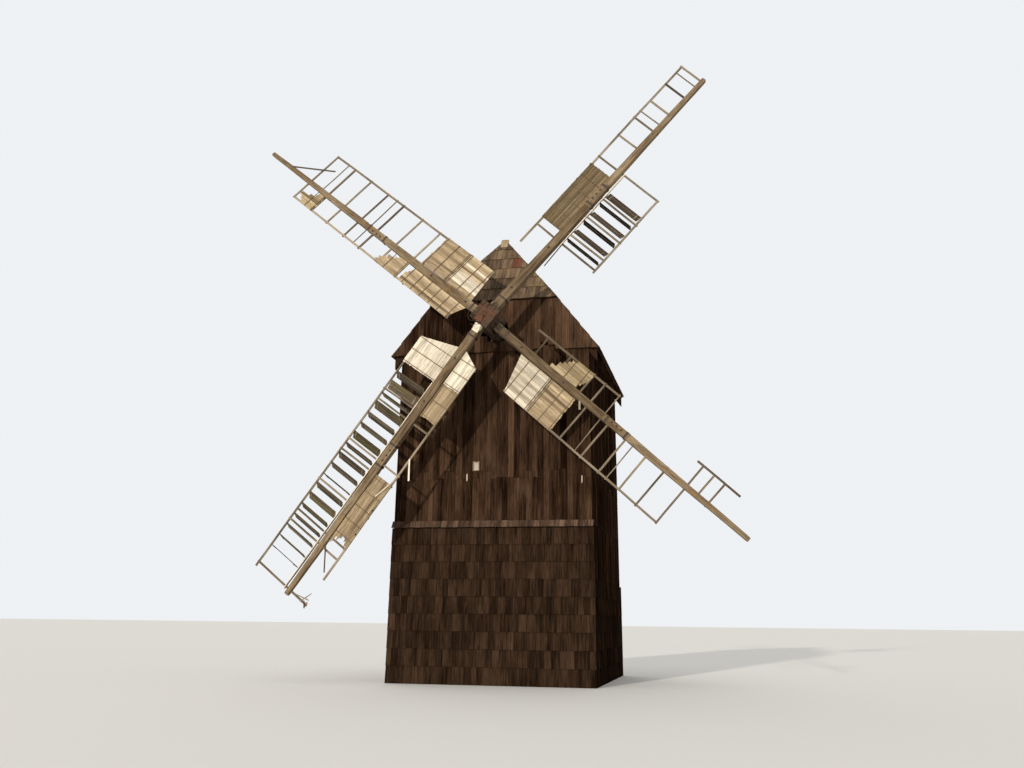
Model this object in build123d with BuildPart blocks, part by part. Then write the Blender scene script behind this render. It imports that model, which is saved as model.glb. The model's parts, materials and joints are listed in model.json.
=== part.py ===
from build123d import *
from math import atan2, cos, degrees, radians, sin, tan
import os

os.makedirs("parts", exist_ok=True)

# Traditional timber windmill, in millimetres. The origin is on the ground under the middle of the
# body, X to the right of someone facing the sails, +Y towards the tail, +Z up. The sails face -Y.

# Body
body_depth = 6700
ledge_height = 4530
ledge_half_width = 2900
wall_batter = 0.012
wall_thickness = 40
gable_lap = 150
sill_height = 250
sill_width = 250
post_width = 220
plate_height = 220
plate_width = 200

# Board courses round the foot of the body
ledge_drop = 200
ledge_reach = 95
ledge_board = 30
skirt_top = ledge_height - ledge_drop
skirt_courses = 9
side_skirt_courses = 6
course_root = 18
course_lip = 46

# Roof
eave_half_span = 3130
eave_height = 9500
roof_height = 4050
roof_thickness = 70
rafter_depth = 210
rafter_width = 120
birdsmouth = 100
hip_height = 2450
hip_overhang = 120
hip_setback = 1400
gable_projection = 50
barge_width = 280
barge_thickness = 30
ridge_board_width = 170
ridge_board_thickness = 28
finial_width = 230
finial_height = 380
finial_thickness = 45
collar_height = 150

# Openings in the walls
window_centre_x = -475
window_centre_z = 6100
window_width = 190
window_height = 270
window_frame_width = 26
window_frame_depth = 60
window_frame_proud = 10
glass_thickness = 4
door_width = 940
door_height = 1950
door_frame_width = 80
door_thickness = 42
fit_gap = 0.2
post_clearance = 0.2

# Windshaft
hub_x = 100
hub_front = 1148
hub_above_eaves = 680
shaft_tilt = 4.0
head_width = 620
head_front = 460
head_back = 520
shaft_radius = 260
journal_radius = 180
journal_length = 360
gudgeon_radius = 90
gudgeon_length = 300
neck_setback = 650
tail_setback = 1050
bearing_clearance = 0.3
bearing_width = 620
bearing_inset = 20
weather_beam_height = 320
weather_beam_width = 300
tail_beam_height = 300
tail_beam_width = 280
tail_block_width = 420
tail_taper = 0.8
shaft_hole_clearance = 45

# Sail arms
stock_offset = 170
stock_width = 250
stock_splice_width = 205
whip_tip_width = 130
stock_end = 5300
splice_length = 900
arm_cone = 2.9
weather_angle = 9.0
mortise_clearance = 0.25
splice_gap = 0.2
cut_margin = 50
stock_block_half = 470
arm_start = 400
band_width = 60
band_thickness = 8
band_clearance = 0.2
hub_band_distance = 700
splice_band_inset = 100
head_band_inset = 45

# Sail frames, boards and shutters
bar_width = 56
bar_thickness = 38
thin_bar_width = 34
thin_bar_thickness = 24
rail_width = 70
rail_thickness = 34
board_thickness = 20
board_gap = 8
board_stand_off = 30
stile_offset = 175
stile_width = 44
shutter_chord = 290
shutter_thickness = 12
shutter_pin_radius = 9
shutter_end_gap = 20
shutter_pin_gap = 0.25
rod_width = 26

front_face = -body_depth / 2
rear_face = body_depth / 2
front_wall_top = eave_height + gable_lap
ridge_height = eave_height + roof_height
hip_eave_height = ridge_height - hip_height
hub_height = eave_height + hub_above_eaves
neck_y = front_face + neck_setback
tail_y = rear_face - tail_setback
roof_slope = degrees(atan2(ridge_height - eave_height, eave_half_span))
roof_rise = tan(radians(roof_slope))
roof_drop = 1 / cos(radians(roof_slope))
apex_y = front_face + hip_setback
hip_eave_y = front_face - hip_overhang
hip_rise = (ridge_height - hip_eave_height) / (apex_y - hip_eave_y)
hip_drop = (1 + hip_rise**2) ** 0.5
inner_front = front_face + wall_thickness
inner_rear = rear_face - wall_thickness


def half_width(z):
    """Half the body's width over its boards at height z."""
    return ledge_half_width - wall_batter * (z - ledge_height)


def roof_top(x):
    """Height of the roof's upper surface at a distance x from the middle."""
    return ridge_height - abs(x) * roof_rise


soffit_at_wall = roof_top(half_width(eave_height)) - (roof_thickness + rafter_depth) * roof_drop
plate_top = soffit_at_wall + birdsmouth
plate_bottom = plate_top - plate_height


def save(piece, name):
    """Labels a finished piece and writes it to its own file."""
    piece.part.label = name
    export_step(piece.part, f"parts/{name}.step")


def wall_outline(bottom, top, inset=0):
    """Corners of the body's front outline between two heights, moved in by inset."""
    low = half_width(bottom) - inset
    high = half_width(top) - inset
    return [(-low, bottom), (low, bottom), (high, top), (-high, top)]


def side_strip(side, bottom, top, outer, inner):
    """Corners of a strip that follows a side wall, from outer to inner depth inside its boards."""
    return [
        (side * (half_width(bottom) - outer), bottom),
        (side * (half_width(top) - outer), top),
        (side * (half_width(top) - inner), top),
        (side * (half_width(bottom) - inner), bottom),
    ]


def plane_at_y(y):
    """A sketch plane seen from the front, at depth y, with its normal towards the front."""
    return Plane.XZ.offset(-y)


# Timber frame
with BuildPart() as ground_sill:
    with BuildSketch(plane_at_y(inner_front)):
        with BuildLine():
            Polyline(*wall_outline(0, sill_height, wall_thickness), close=True)
        make_face()
    extrude(amount=-(body_depth - 2 * wall_thickness))
    bay_length = (body_depth - 2 * wall_thickness - 3 * sill_width) / 2
    bay_width = 2 * (half_width(sill_height) - wall_thickness - sill_width)
    bay_shift = (bay_length + sill_width) / 2
    with Locations((0, -bay_shift, sill_height / 2), (0, bay_shift, sill_height / 2)):
        Box(bay_width, bay_length, sill_height, mode=Mode.SUBTRACT)
save(ground_sill, "ground_sill")

post_ys = [inner_front + post_width / 2, 0, inner_rear - post_width / 2]
with BuildPart() as wall_posts:
    for post_y in post_ys:
        for side in (-1, 1):
            with BuildSketch(plane_at_y(post_y)):
                with BuildLine():
                    post_inner = wall_thickness + post_width
                    strip = side_strip(side, sill_height, plate_bottom, wall_thickness, post_inner)
                    Polyline(*strip, close=True)
                make_face()
            extrude(amount=post_width / 2, both=True)
save(wall_posts, "wall_posts")

with BuildPart() as wall_plates:
    with BuildSketch(plane_at_y(inner_front)):
        with BuildLine():
            Polyline(*wall_outline(plate_bottom, plate_top, wall_thickness), close=True)
        make_face()
    extrude(amount=-(body_depth - 2 * wall_thickness))
    with Locations((0, 0, (plate_bottom + plate_top) / 2)):
        Box(
            2 * (half_width(plate_top) - wall_thickness - plate_width),
            body_depth - 2 * wall_thickness - 2 * plate_width,
            plate_height,
            mode=Mode.SUBTRACT,
        )
save(wall_plates, "wall_plates")

# Walls
with BuildPart() as front_wall:
    with BuildSketch(plane_at_y(front_face)):
        with BuildLine():
            Polyline(*wall_outline(0, front_wall_top), close=True)
        make_face()
        with Locations((window_centre_x, window_centre_z)):
            Rectangle(window_width, window_height, mode=Mode.SUBTRACT)
    extrude(amount=-wall_thickness)
save(front_wall, "front_wall")

door_centre_z = sill_height + door_height / 2
with BuildPart() as rear_wall:
    with BuildSketch(plane_at_y(inner_rear)):
        with BuildLine():
            Polyline(*wall_outline(0, front_wall_top), close=True)
        make_face()
        with Locations((0, door_centre_z)):
            Rectangle(door_width, door_height, mode=Mode.SUBTRACT)
    extrude(amount=-wall_thickness)
save(rear_wall, "rear_wall")

for side, wall_name in ((-1, "left_wall"), (1, "right_wall")):
    with BuildPart() as side_wall:
        with BuildSketch(plane_at_y(inner_front)):
            with BuildLine():
                Polyline(*side_strip(side, 0, plate_top, 0, wall_thickness), close=True)
            make_face()
        extrude(amount=-(body_depth - 2 * wall_thickness))
    save(side_wall, wall_name)


# Skirt courses: each course is rooted close to the wall and stands off at its lower lip
def course_profile(courses):
    """Distances out from the wall's face, with heights, of a stack of lapped board courses."""
    pitch = skirt_top / skirt_courses
    outline = [(0, 0)]
    for course in range(courses):
        outline.append((course_lip, course * pitch))
        outline.append((course_root, (course + 1) * pitch))
    outline.append((0, courses * pitch))
    return outline


with BuildPart() as skirt_front:
    with BuildSketch(Plane.YZ):
        with BuildLine():
            Polyline(*[(front_face - out, z) for out, z in course_profile(skirt_courses)], close=True)
        make_face()
    extrude(amount=ledge_half_width + cut_margin + ledge_height * wall_batter, both=True)
    with BuildSketch(plane_at_y(front_face - course_lip)):
        with BuildLine():
            Polyline(*wall_outline(0, skirt_top, -course_lip), close=True)
        make_face()
    extrude(amount=-2 * course_lip, mode=Mode.INTERSECT)
save(skirt_front, "skirt_front")

with BuildPart() as skirt_rear:
    with BuildSketch(Plane.YZ):
        with BuildLine():
            profile = course_profile(side_skirt_courses)
            Polyline(*[(rear_face + out, z) for out, z in profile], close=True)
        make_face()
    extrude(amount=ledge_half_width + cut_margin + ledge_height * wall_batter, both=True)
    with BuildSketch(plane_at_y(rear_face)):
        with BuildLine():
            Polyline(*wall_outline(0, skirt_top, -course_lip), close=True)
        make_face()
        with Locations((0, door_centre_z)):
            Rectangle(door_width, door_height, mode=Mode.SUBTRACT)
    extrude(amount=-2 * course_lip, mode=Mode.INTERSECT)
save(skirt_rear, "skirt_rear")

with BuildPart() as side_skirts:
    for side in (-1, 1):
        with BuildSketch(plane_at_y(front_face)):
            with BuildLine():
                profile = course_profile(side_skirt_courses)
                Polyline(*[(side * (half_width(z) + out), z) for out, z in profile], close=True)
            make_face()
        extrude(amount=-body_depth)
save(side_skirts, "side_skirts")

with BuildPart() as drip_ledge:
    with BuildSketch(Plane.YZ):
        with BuildLine():
            Polyline(
                (front_face, ledge_height),
                (front_face - ledge_reach - ledge_board, ledge_height - ledge_drop + ledge_board / 2),
                (front_face - ledge_reach, ledge_height - ledge_drop - ledge_board / 2),
                (front_face, ledge_height - 2 * ledge_board),
                close=True,
            )
        make_face()
    extrude(amount=half_width(ledge_height) + course_lip, both=True)
save(drip_ledge, "drip_ledge")

# Gables: boards that lap over the wall below and carry on up to the hips
def hip_under(y):
    """Height of a hip's under surface at depth y, measured at the front or the rear."""
    return hip_eave_height + (-abs(y) - hip_eave_y) * hip_rise - roof_thickness * hip_drop


def gable_outline():
    """Front outline of the gable boards, under the roof's slopes and the hip."""
    under = roof_thickness * roof_drop
    top = hip_under(front_face - gable_projection)
    low_x = (ridge_height - under - eave_height) / roof_rise
    high_x = (ridge_height - under - top) / roof_rise
    return [(-low_x, eave_height), (low_x, eave_height), (high_x, top), (-high_x, top)]


shaft_direction = Vector(0, -cos(radians(shaft_tilt)), sin(radians(shaft_tilt)))
hub = Vector(hub_x, front_face - hub_front, hub_height)
shaft_plane = Plane(origin=hub, x_dir=(1, 0, 0), z_dir=shaft_direction)


def shaft_height(y):
    """Height of the windshaft's axis at depth y."""
    return hub_height - (y - hub.Y) * tan(radians(shaft_tilt))


shaft_hole_radius = shaft_radius + shaft_hole_clearance

with BuildPart() as front_gable:
    with BuildSketch(plane_at_y(front_face)):
        with BuildLine():
            Polyline(*gable_outline(), close=True)
        make_face()
        with Locations((hub_x, shaft_height(front_face))):
            Circle(shaft_hole_radius, mode=Mode.SUBTRACT)
    extrude(amount=gable_projection)
save(front_gable, "front_gable")

with BuildPart() as rear_gable:
    with BuildSketch(plane_at_y(rear_face)):
        with BuildLine():
            Polyline(*gable_outline(), close=True)
        make_face()
    extrude(amount=-gable_projection)
save(rear_gable, "rear_gable")


# Roof: two slopes, cut back by a half-hip at each end
rafter_under = roof_thickness * roof_drop
rafter_inner = (roof_thickness + rafter_depth) * roof_drop
slope_sin = sin(radians(roof_slope))
slope_cos = cos(radians(roof_slope))
gable_plane_y = front_face - gable_projection

for side, roof_name in ((-1, "left_roof"), (1, "right_roof")):
    with BuildPart() as roof_side:
        with BuildSketch(plane_at_y(gable_plane_y)):
            with BuildLine():
                Polyline(
                    (side * eave_half_span, eave_height),
                    (0, ridge_height),
                    (0, ridge_height - rafter_under),
                    (
                        side * (eave_half_span - roof_thickness * slope_sin),
                        eave_height - roof_thickness * slope_cos,
                    ),
                    close=True,
                )
            make_face()
        extrude(amount=-2 * abs(gable_plane_y))
        for end in (-1, 1):
            with BuildSketch(Plane.YZ):
                with BuildLine():
                    Polyline(
                        (-end * (hip_eave_y - hip_overhang), hip_under(hip_eave_y - hip_overhang)),
                        (-end * (apex_y + hip_setback / 2), hip_under(apex_y + hip_setback / 2)),
                        (-end * (hip_eave_y - hip_overhang), hip_under(apex_y + hip_setback / 2)),
                        close=True,
                    )
                make_face()
            extrude(amount=eave_half_span, both=True, mode=Mode.SUBTRACT)
    save(roof_side, roof_name)

hip_length = ((apex_y - hip_eave_y) ** 2 + (ridge_height - hip_eave_height) ** 2) ** 0.5
hip_sin = (ridge_height - hip_eave_height) / hip_length
hip_cos = (apex_y - hip_eave_y) / hip_length

for end, hip_name in ((-1, "front_hip"), (1, "rear_hip")):
    with BuildPart() as hip:
        with BuildSketch(Plane.YZ):
            with BuildLine():
                Polyline(
                    (-end * hip_eave_y, hip_eave_height),
                    (-end * apex_y, ridge_height),
                    (-end * (apex_y + roof_thickness * hip_drop / hip_rise), ridge_height),
                    (
                        -end * (hip_eave_y + roof_thickness * hip_sin),
                        hip_eave_height - roof_thickness * hip_cos,
                    ),
                    close=True,
                )
            make_face()
        extrude(amount=eave_half_span, both=True)
        with BuildSketch(Plane.XZ):
            with BuildLine():
                Polyline(
                    (-eave_half_span, eave_height),
                    (0, ridge_height),
                    (eave_half_span, eave_height),
                    close=True,
                )
            make_face()
        extrude(amount=body_depth, both=True, mode=Mode.INTERSECT)
    save(hip, hip_name)

barge_top = hip_under(gable_plane_y - barge_thickness)
with BuildPart() as barge_boards:
    for end in (-1, 1):
        with BuildSketch(plane_at_y(-end * gable_plane_y)):
            for side in (-1, 1):
                with BuildLine():
                    Polyline(
                        (side * eave_half_span, eave_height),
                        (side * (ridge_height - barge_top) / roof_rise, barge_top),
                        (side * (ridge_height - barge_top - barge_width * roof_drop) / roof_rise, barge_top),
                        (
                            side * (eave_half_span - barge_width * slope_sin),
                            eave_height - barge_width * slope_cos,
                        ),
                        close=True,
                    )
                make_face()
        extrude(amount=-end * barge_thickness)
save(barge_boards, "barge_boards")

cap_reach = ridge_board_width * slope_cos
with BuildPart() as ridge_cap:
    with BuildSketch(plane_at_y(apex_y)):
        with BuildLine():
            Polyline(
                (-cap_reach, roof_top(cap_reach)),
                (0, ridge_height),
                (cap_reach, roof_top(cap_reach)),
                (
                    cap_reach + ridge_board_thickness * slope_sin,
                    roof_top(cap_reach) + ridge_board_thickness * slope_cos,
                ),
                (0, ridge_height + ridge_board_thickness * roof_drop),
                (
                    -cap_reach - ridge_board_thickness * slope_sin,
                    roof_top(cap_reach) + ridge_board_thickness * slope_cos,
                ),
                close=True,
            )
        make_face()
    extrude(amount=-2 * abs(apex_y))
save(ridge_cap, "ridge_cap")

with BuildPart() as ridge_end_boards:
    for end in (-1, 1):
        with BuildSketch(Plane.YZ):
            with BuildLine():
                Polyline(
                    (-end * apex_y, ridge_height),
                    (-end * (apex_y - finial_height * hip_cos), ridge_height - finial_height * hip_sin),
                    (
                        -end * (apex_y - finial_height * hip_cos - finial_thickness * hip_sin),
                        ridge_height - finial_height * hip_sin + finial_thickness * hip_cos,
                    ),
                    (-end * (apex_y - finial_thickness * hip_sin), ridge_height + finial_thickness * hip_cos),
                    close=True,
                )
            make_face()
        extrude(amount=finial_width / 2, both=True)
save(ridge_end_boards, "ridge_end_boards")


def rafter_half():
    """Corners of one rafter's outline, from its foot past the notch over the plate."""
    foot_x = eave_half_span - roof_thickness * slope_sin
    notch_x = half_width(soffit_at_wall) + post_clearance
    inner_at_plate = (ridge_height - rafter_inner - plate_top) / roof_rise
    return [
        (foot_x, roof_top(foot_x) - rafter_under),
        (foot_x, roof_top(foot_x) - rafter_inner),
        (notch_x, roof_top(notch_x) - rafter_inner),
        (notch_x, plate_top),
        (inner_at_plate, plate_top),
    ]


def both_sides(right_points):
    """The right-hand corners followed by their mirror images in reverse order."""
    return right_points + [(-x, z) for x, z in reversed(right_points)]


rafter_span = abs(apex_y) - rafter_width
with BuildPart() as rafters:
    for rafter_y in [rafter_span * step / 2 for step in (-2, -1, 0, 1, 2)]:
        with BuildSketch(plane_at_y(rafter_y)):
            with BuildLine():
                points = both_sides(rafter_half() + [(0, ridge_height - rafter_inner)])
                Polyline(*points[:6], *points[7:], (0, ridge_height - rafter_under), close=True)
            make_face()
        extrude(amount=rafter_width / 2, both=True)
    collar_top = hip_under(inner_front)
    collar_bottom = collar_top - collar_height
    for rafter_y in (inner_front + rafter_width / 2, inner_rear - rafter_width / 2):
        with BuildSketch(plane_at_y(rafter_y)):
            with BuildLine():
                foot = rafter_half()
                foot.append(((ridge_height - rafter_inner - collar_bottom) / roof_rise, collar_bottom))
                top_x = (ridge_height - rafter_under - collar_top) / roof_rise
                points = both_sides(foot) + [(-top_x, collar_top), (top_x, collar_top)]
                Polyline(*points, close=True)
            make_face()
        extrude(amount=rafter_width / 2, both=True)
save(rafters, "rafters")

# Window and door
with BuildPart() as window_frame:
    with BuildSketch(plane_at_y(front_face - window_frame_proud)):
        with Locations((window_centre_x, window_centre_z)):
            Rectangle(window_width - 2 * fit_gap, window_height - 2 * fit_gap)
            Rectangle(
                window_width - 2 * window_frame_width,
                window_height - 2 * window_frame_width,
                mode=Mode.SUBTRACT,
            )
    extrude(amount=-window_frame_depth)
save(window_frame, "window_frame")

with BuildPart() as window_pane:
    with BuildSketch(plane_at_y(front_face + wall_thickness / 2)):
        with Locations((window_centre_x, window_centre_z)):
            Rectangle(
                window_width - 2 * window_frame_width - 2 * fit_gap,
                window_height - 2 * window_frame_width - 2 * fit_gap,
            )
    extrude(amount=glass_thickness)
save(window_pane, "window_pane")

with BuildPart() as door_frame:
    with BuildSketch(plane_at_y(rear_face + course_lip)):
        with Locations((0, door_centre_z)):
            Rectangle(door_width - 2 * fit_gap, door_height - 2 * fit_gap)
        with Locations((0, sill_height + (door_height - door_frame_width) / 2)):
            Rectangle(door_width - 2 * door_frame_width, door_height - door_frame_width, mode=Mode.SUBTRACT)
    extrude(amount=wall_thickness + course_lip)
save(door_frame, "door_frame")

with BuildPart() as rear_door:
    with BuildSketch(plane_at_y(inner_rear + door_thickness)):
        with Locations((0, sill_height + (door_height - door_frame_width) / 2)):
            Rectangle(
                door_width - 2 * door_frame_width - 2 * fit_gap, door_height - door_frame_width - 2 * fit_gap
            )
    extrude(amount=door_thickness)
save(rear_door, "rear_door")

# Beams and bearings under the windshaft
weather_beam_top = plate_top + weather_beam_height
with BuildPart() as weather_beam:
    with Locations((0, neck_y, plate_top + weather_beam_height / 2)):
        Box(
            2 * (half_width(plate_top) - wall_thickness - plate_width / 4),
            weather_beam_width,
            weather_beam_height,
        )
save(weather_beam, "weather_beam")

with BuildPart() as tail_beam:
    with Locations((0, tail_y, plate_top - tail_beam_height / 2)):
        Box(2 * (half_width(plate_top) - wall_thickness - plate_width), tail_beam_width, tail_beam_height)
save(tail_beam, "tail_beam")


def shaft_plane_at(distance):
    """A plane across the windshaft, at a distance in front of the hub."""
    return shaft_plane.offset(distance)


def shaft_distance(y):
    """Distance in front of the hub at which the windshaft's axis reaches depth y."""
    return (hub.Y - y) / cos(radians(shaft_tilt))


neck_length = weather_beam_width - 2 * bearing_inset
tail_length = tail_beam_width - 2 * bearing_inset
neck_block = (neck_y, bearing_width, neck_length, weather_beam_top, journal_radius)
tail_block = (tail_y, tail_block_width, tail_length, plate_top, gudgeon_radius)
with BuildPart() as shaft_bearings:
    for block_y, block_width, block_length, seat, radius in (neck_block, tail_block):
        block_height = shaft_height(block_y) - seat
        with Locations((hub_x, block_y, seat + block_height / 2)):
            Box(block_width, block_length, block_height)
        with Locations(shaft_plane_at(shaft_distance(block_y)).location):
            Cylinder(radius + bearing_clearance, 2 * block_length, mode=Mode.SUBTRACT)
save(shaft_bearings, "shaft_bearings")

# Sail arms. Each arm's angle is seen from the front, counter-clockwise from straight right, and its
# reach is from the hub to its tip. The arms lean back a little and have sagged with age.
sails = {
    "ur": dict(stock="front", angle=49.6, reach=9750, wide=1440, narrow=790),
    "ul": dict(stock="rear", angle=139.7, reach=10000, wide=1250, narrow=700),
    "ll": dict(stock="front", angle=234.2, reach=9600, wide=1410, narrow=700),
    "lr": dict(stock="rear", angle=318.2, reach=9450, wide=1240, narrow=720),
}
stock_sides = {"front": 1, "rear": -1}
stock_sails = {"front": ("ur", "ll"), "rear": ("ul", "lr")}


def shaft_vector(x, y, z):
    """A direction given along the shaft plane's own axes."""
    return shaft_plane.x_dir * x + shaft_plane.y_dir * y + shaft_plane.z_dir * z


def arm_plane(sail, weather=0.0):
    """A sail's own plane: X out along the arm, Y to its narrow side, turned about X by weather."""
    turn, lean, twist = radians(sail["angle"]), radians(arm_cone), radians(weather)
    along = shaft_vector(cos(lean) * cos(turn), cos(lean) * sin(turn), -sin(lean))
    outward = shaft_vector(sin(lean) * cos(turn), sin(lean) * sin(turn), cos(lean))
    across = shaft_vector(-sin(turn), cos(turn), 0)
    centre = hub + shaft_plane.z_dir * (stock_sides[sail["stock"]] * stock_offset)
    return Plane(origin=centre, x_dir=along, z_dir=outward * cos(twist) - across * sin(twist))


def stock_mean_angle(stock):
    """The angle of a stock's middle, halfway between those of its two arms."""
    first, second = (sails[name]["angle"] for name in stock_sails[stock])
    return (first + second - 180) / 2


def stock_middle_plane(stock):
    """A plane across the shaft at a stock, with X along the stock's middle."""
    turn = radians(stock_mean_angle(stock))
    centre = hub + shaft_plane.z_dir * (stock_sides[stock] * stock_offset)
    return Plane(origin=centre, x_dir=shaft_vector(cos(turn), sin(turn), 0), z_dir=shaft_plane.z_dir)


def arm_width(sail, distance):
    """Width of an arm, the same both ways, at a distance from the hub."""
    if distance <= stock_end:
        share = max(0, distance - arm_start) / (stock_end - arm_start)
        return stock_width + (stock_splice_width - stock_width) * share
    share = (distance - stock_end) / (sail["reach"] - stock_end)
    return stock_splice_width + (whip_tip_width - stock_splice_width) * share


def arm_section(sail, distance):
    """A sketch plane square across an arm."""
    flat = arm_plane(sail)
    return Plane(origin=flat.origin + flat.x_dir * distance, x_dir=flat.y_dir, z_dir=flat.x_dir)


# Bars run through the arm from rail to rail. A stub is what is left of a bar broken off at the arm.
shutter_pitch = {"ll": 355, "ur": 360}
first_shutter = {"ll": 2810, "ur": 3260}

# How far each shutter has stuck open, in degrees from flat in its sail, counted outwards
shutter_angles = {
    "ll": [50, 12, 70, 35, 57, 60, 41, 63, 50, 58, 76, 53, 43, 59, 61, 63, 69, 79],
    "ur": [91, 42, 97, 41, 91, 30],
}


def between_shutters(name, after):
    """The place of a bar in the gap after a numbered shutter."""
    return first_shutter[name] + (after + 0.5) * shutter_pitch[name]


stub = 190
sails["ul"]["bars"] = [(1080, 1, 1), (1990, 1, 1), (2950, 1, 1), (3330, 1, 1), (4130, 1, 1), (4980, 1, 1)]
sails["ul"]["bars"] += [(5700, 1, 1), (6510, 1, 1), (7270, 1, 1), (8130, 1, 1)]
sails["ul"]["thin_bars"] = [(5280, 1, 1), (7580, 0, 1)]
sails["ul"]["rails"] = [(-1, 1000, 8165), (1, 1050, 8165)]

sails["lr"]["bars"] = [(1700, 1, 1), (2560, 1, 1), (3420, 1, 1), (3830, 1, 1), (4610, 0, 1), (5260, 0, 1)]
sails["lr"]["bars"] += [(5990, 0, 1), (6620, 0, 1), (7330, 1, 1), (7700, 1, 0), (8050, 1, 0)]
sails["lr"]["thin_bars"] = [(4360, 1, 1), (5530, 0, 1)]
sails["lr"]["rails"] = [(-1, 1650, 7365), (1, 1320, 4390), (1, 7120, 8570)]

sails["ur"]["bars"] = [(3060, 1, 1), (between_shutters("ur", 0), 1, 1), (between_shutters("ur", 2), 1, 1)]
sails["ur"]["bars"] += [(between_shutters("ur", 4), 1, 1), (5500, 1, 0), (5850, 1, 1), (6750, 1, 0)]
sails["ur"]["bars"] += [(7480, 1, 0), (8200, 1, 0), (8910, 1, 0), (9650, 1, 0)]
sails["ur"]["thin_bars"] = [(7760, 1, 0), (9400, 1, 0)]
sails["ur"]["rails"] = [(-1, 2960, 5885), (1, 2340, 9690)]
sails["ur"]["stile"] = (2960, 5885)

sails["ll"]["bars"] = [(1500, 1, 1), (2300, 1, 1)]
sails["ll"]["bars"] += [(between_shutters("ll", after), 1, 1) for after in (1, 2, 6, 7, 10, 13, 14)]
sails["ll"]["bars"] += [(9450, 1, 1)]
sails["ll"]["thin_bars"] = []
sails["ll"]["rails"] = [(-1, 2240, 9600), (1, 1400, 8630), (1, 9380, 9520)]
sails["ll"]["stile"] = (2240, 9520)

# Boards on each side, -1 wide and 1 narrow, row by row and counted outwards from the arm, as the
# distances from the hub where each begins and ends
board_panels = {
    "ul": [
        (-1, [
            [(900, 1975), (925, 1975), (955, 1975), (985, 1975), (1010, 1975), (1035, 1975)],
            [(2000, 3020), (2000, 3020), (2000, 3020), (2000, 3005), (2000, 3020), (2000, 3020)],
        ]),
        (1, [
            [(900, 3060), (990, 3190), (1080, 3190)],
            [(3310, 3900), (3310, 4250), (3310, 4330)],
            [(7240, 7620), (7240, 8160), (7240, 7900)],
        ]),
    ],
    "ur": [
        (1, [[(3320, 5545), (3320, 5545), (3320, 5545), (3320, 5545)]]),
    ],
    "ll": [
        (-1, [[(1200, 2400), (1255, 2400), (1310, 2400), (1365, 2400), (1420, 2400), (1480, 2400)]]),
        (1, [
            [(1200, 2285), (1290, 2285), (1380, 2285)],
            [(2300, 3390), (2300, 3370), (2300, 3390)],
            [(5440, 7640), (5500, 7400), (5440, 7640)],
        ]),
    ],
    "lr": [
        (-1, [
            [(1420, 2550), (1470, 2550), (1530, 2550), (1580, 2550), (1640, 2550), (1680, 2550)],
            [(2575, 3480), (2575, 3480), (2575, 3460), (2575, 3480), (2575, 3480), (2575, 3480)],
        ]),
        (1, [[(2350, 3300), (2480, 3450), (2750, 3450)]]),
    ],
}


def add_bars(sail, grow, mode):
    """Adds or cuts a sail's bars, each grown by a clearance on every side."""
    for thin, key in ((False, "bars"), (True, "thin_bars")):
        width = (thin_bar_width if thin else bar_width) + 2 * grow
        thick = (thin_bar_thickness if thin else bar_thickness) + 2 * grow
        for distance, narrow, wide in sail[key]:
            top = sail["narrow"] if narrow else stub
            low = -(sail["wide"] if wide else stub)
            place = arm_plane(sail, weather_angle).location * Location((distance, (top + low) / 2, 0))
            with Locations(place):
                Box(width, top - low, thick, mode=mode)


def cut_half(sail, start, end, side):
    """Cuts an arm's front or rear half away between two distances, to lap two pieces."""
    depth = stock_width
    place = arm_plane(sail).location * Location(((start + end) / 2, 0, side * (depth / 2 - splice_gap / 2)))
    with Locations(place):
        Box(end - start, 2 * stock_width, depth, mode=Mode.SUBTRACT)


for stock, stock_name in (("front", "stock_front"), ("rear", "stock_rear")):
    with BuildPart() as stock_part:
        with Locations(stock_middle_plane(stock).location):
            Box(2 * stock_block_half, stock_width, stock_width)
        for name in stock_sails[stock]:
            sail = sails[name]
            with BuildSketch(arm_section(sail, arm_start)):
                Rectangle(arm_width(sail, arm_start), arm_width(sail, arm_start))
            with BuildSketch(arm_section(sail, stock_end)):
                Rectangle(arm_width(sail, stock_end), arm_width(sail, stock_end))
            loft()
        for name in stock_sails[stock]:
            cut_half(sails[name], stock_end - splice_length, stock_end + cut_margin, 1)
            add_bars(sails[name], mortise_clearance, Mode.SUBTRACT)
    save(stock_part, stock_name)

with BuildPart() as sail_whips:
    for sail in sails.values():
        for distance in (stock_end - splice_length, stock_end, sail["reach"]):
            with BuildSketch(arm_section(sail, distance)):
                Rectangle(arm_width(sail, distance), arm_width(sail, distance))
        loft(ruled=True)
        cut_half(sail, stock_end - splice_length - cut_margin, stock_end + splice_gap, -1)
        add_bars(sail, mortise_clearance, Mode.SUBTRACT)
save(sail_whips, "sail_whips")

for name, sail in sails.items():
    with BuildPart() as sail_frame:
        add_bars(sail, 0, Mode.ADD)
        for side, start, end in sail["rails"]:
            offset = side * (sail["narrow"] if side > 0 else sail["wide"])
            place = Location(((start + end) / 2, offset, 0))
            with Locations(arm_plane(sail, weather_angle).location * place):
                Box(end - start, rail_width, rail_thickness)
        if "stile" in sail:
            start, end = sail["stile"]
            place = Location(((start + end) / 2, -stile_offset, 0))
            with Locations(arm_plane(sail, weather_angle).location * place):
                Box(end - start, stile_width, rail_thickness)
    save(sail_frame, f"sail_frame_{name}")

for name, panels in board_panels.items():
    sail = sails[name]
    inner_edge = stock_width / 2 + board_stand_off
    lift = (bar_thickness + board_thickness) / 2
    with BuildPart() as boards:
        for side, rows in panels:
            outer_edge = (sail["narrow"] if side > 0 else sail["wide"]) + rail_width / 2
            for row in rows:
                pitch = (outer_edge - inner_edge + board_gap) / len(row)
                for number, (start, end) in enumerate(row):
                    across = side * (inner_edge + number * pitch + (pitch - board_gap) / 2)
                    place = Location(((start + end) / 2, across, lift))
                    with Locations(arm_plane(sail, weather_angle).location * place):
                        Box(end - start, pitch - board_gap, board_thickness)
    save(boards, f"boards_{name}")

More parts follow.
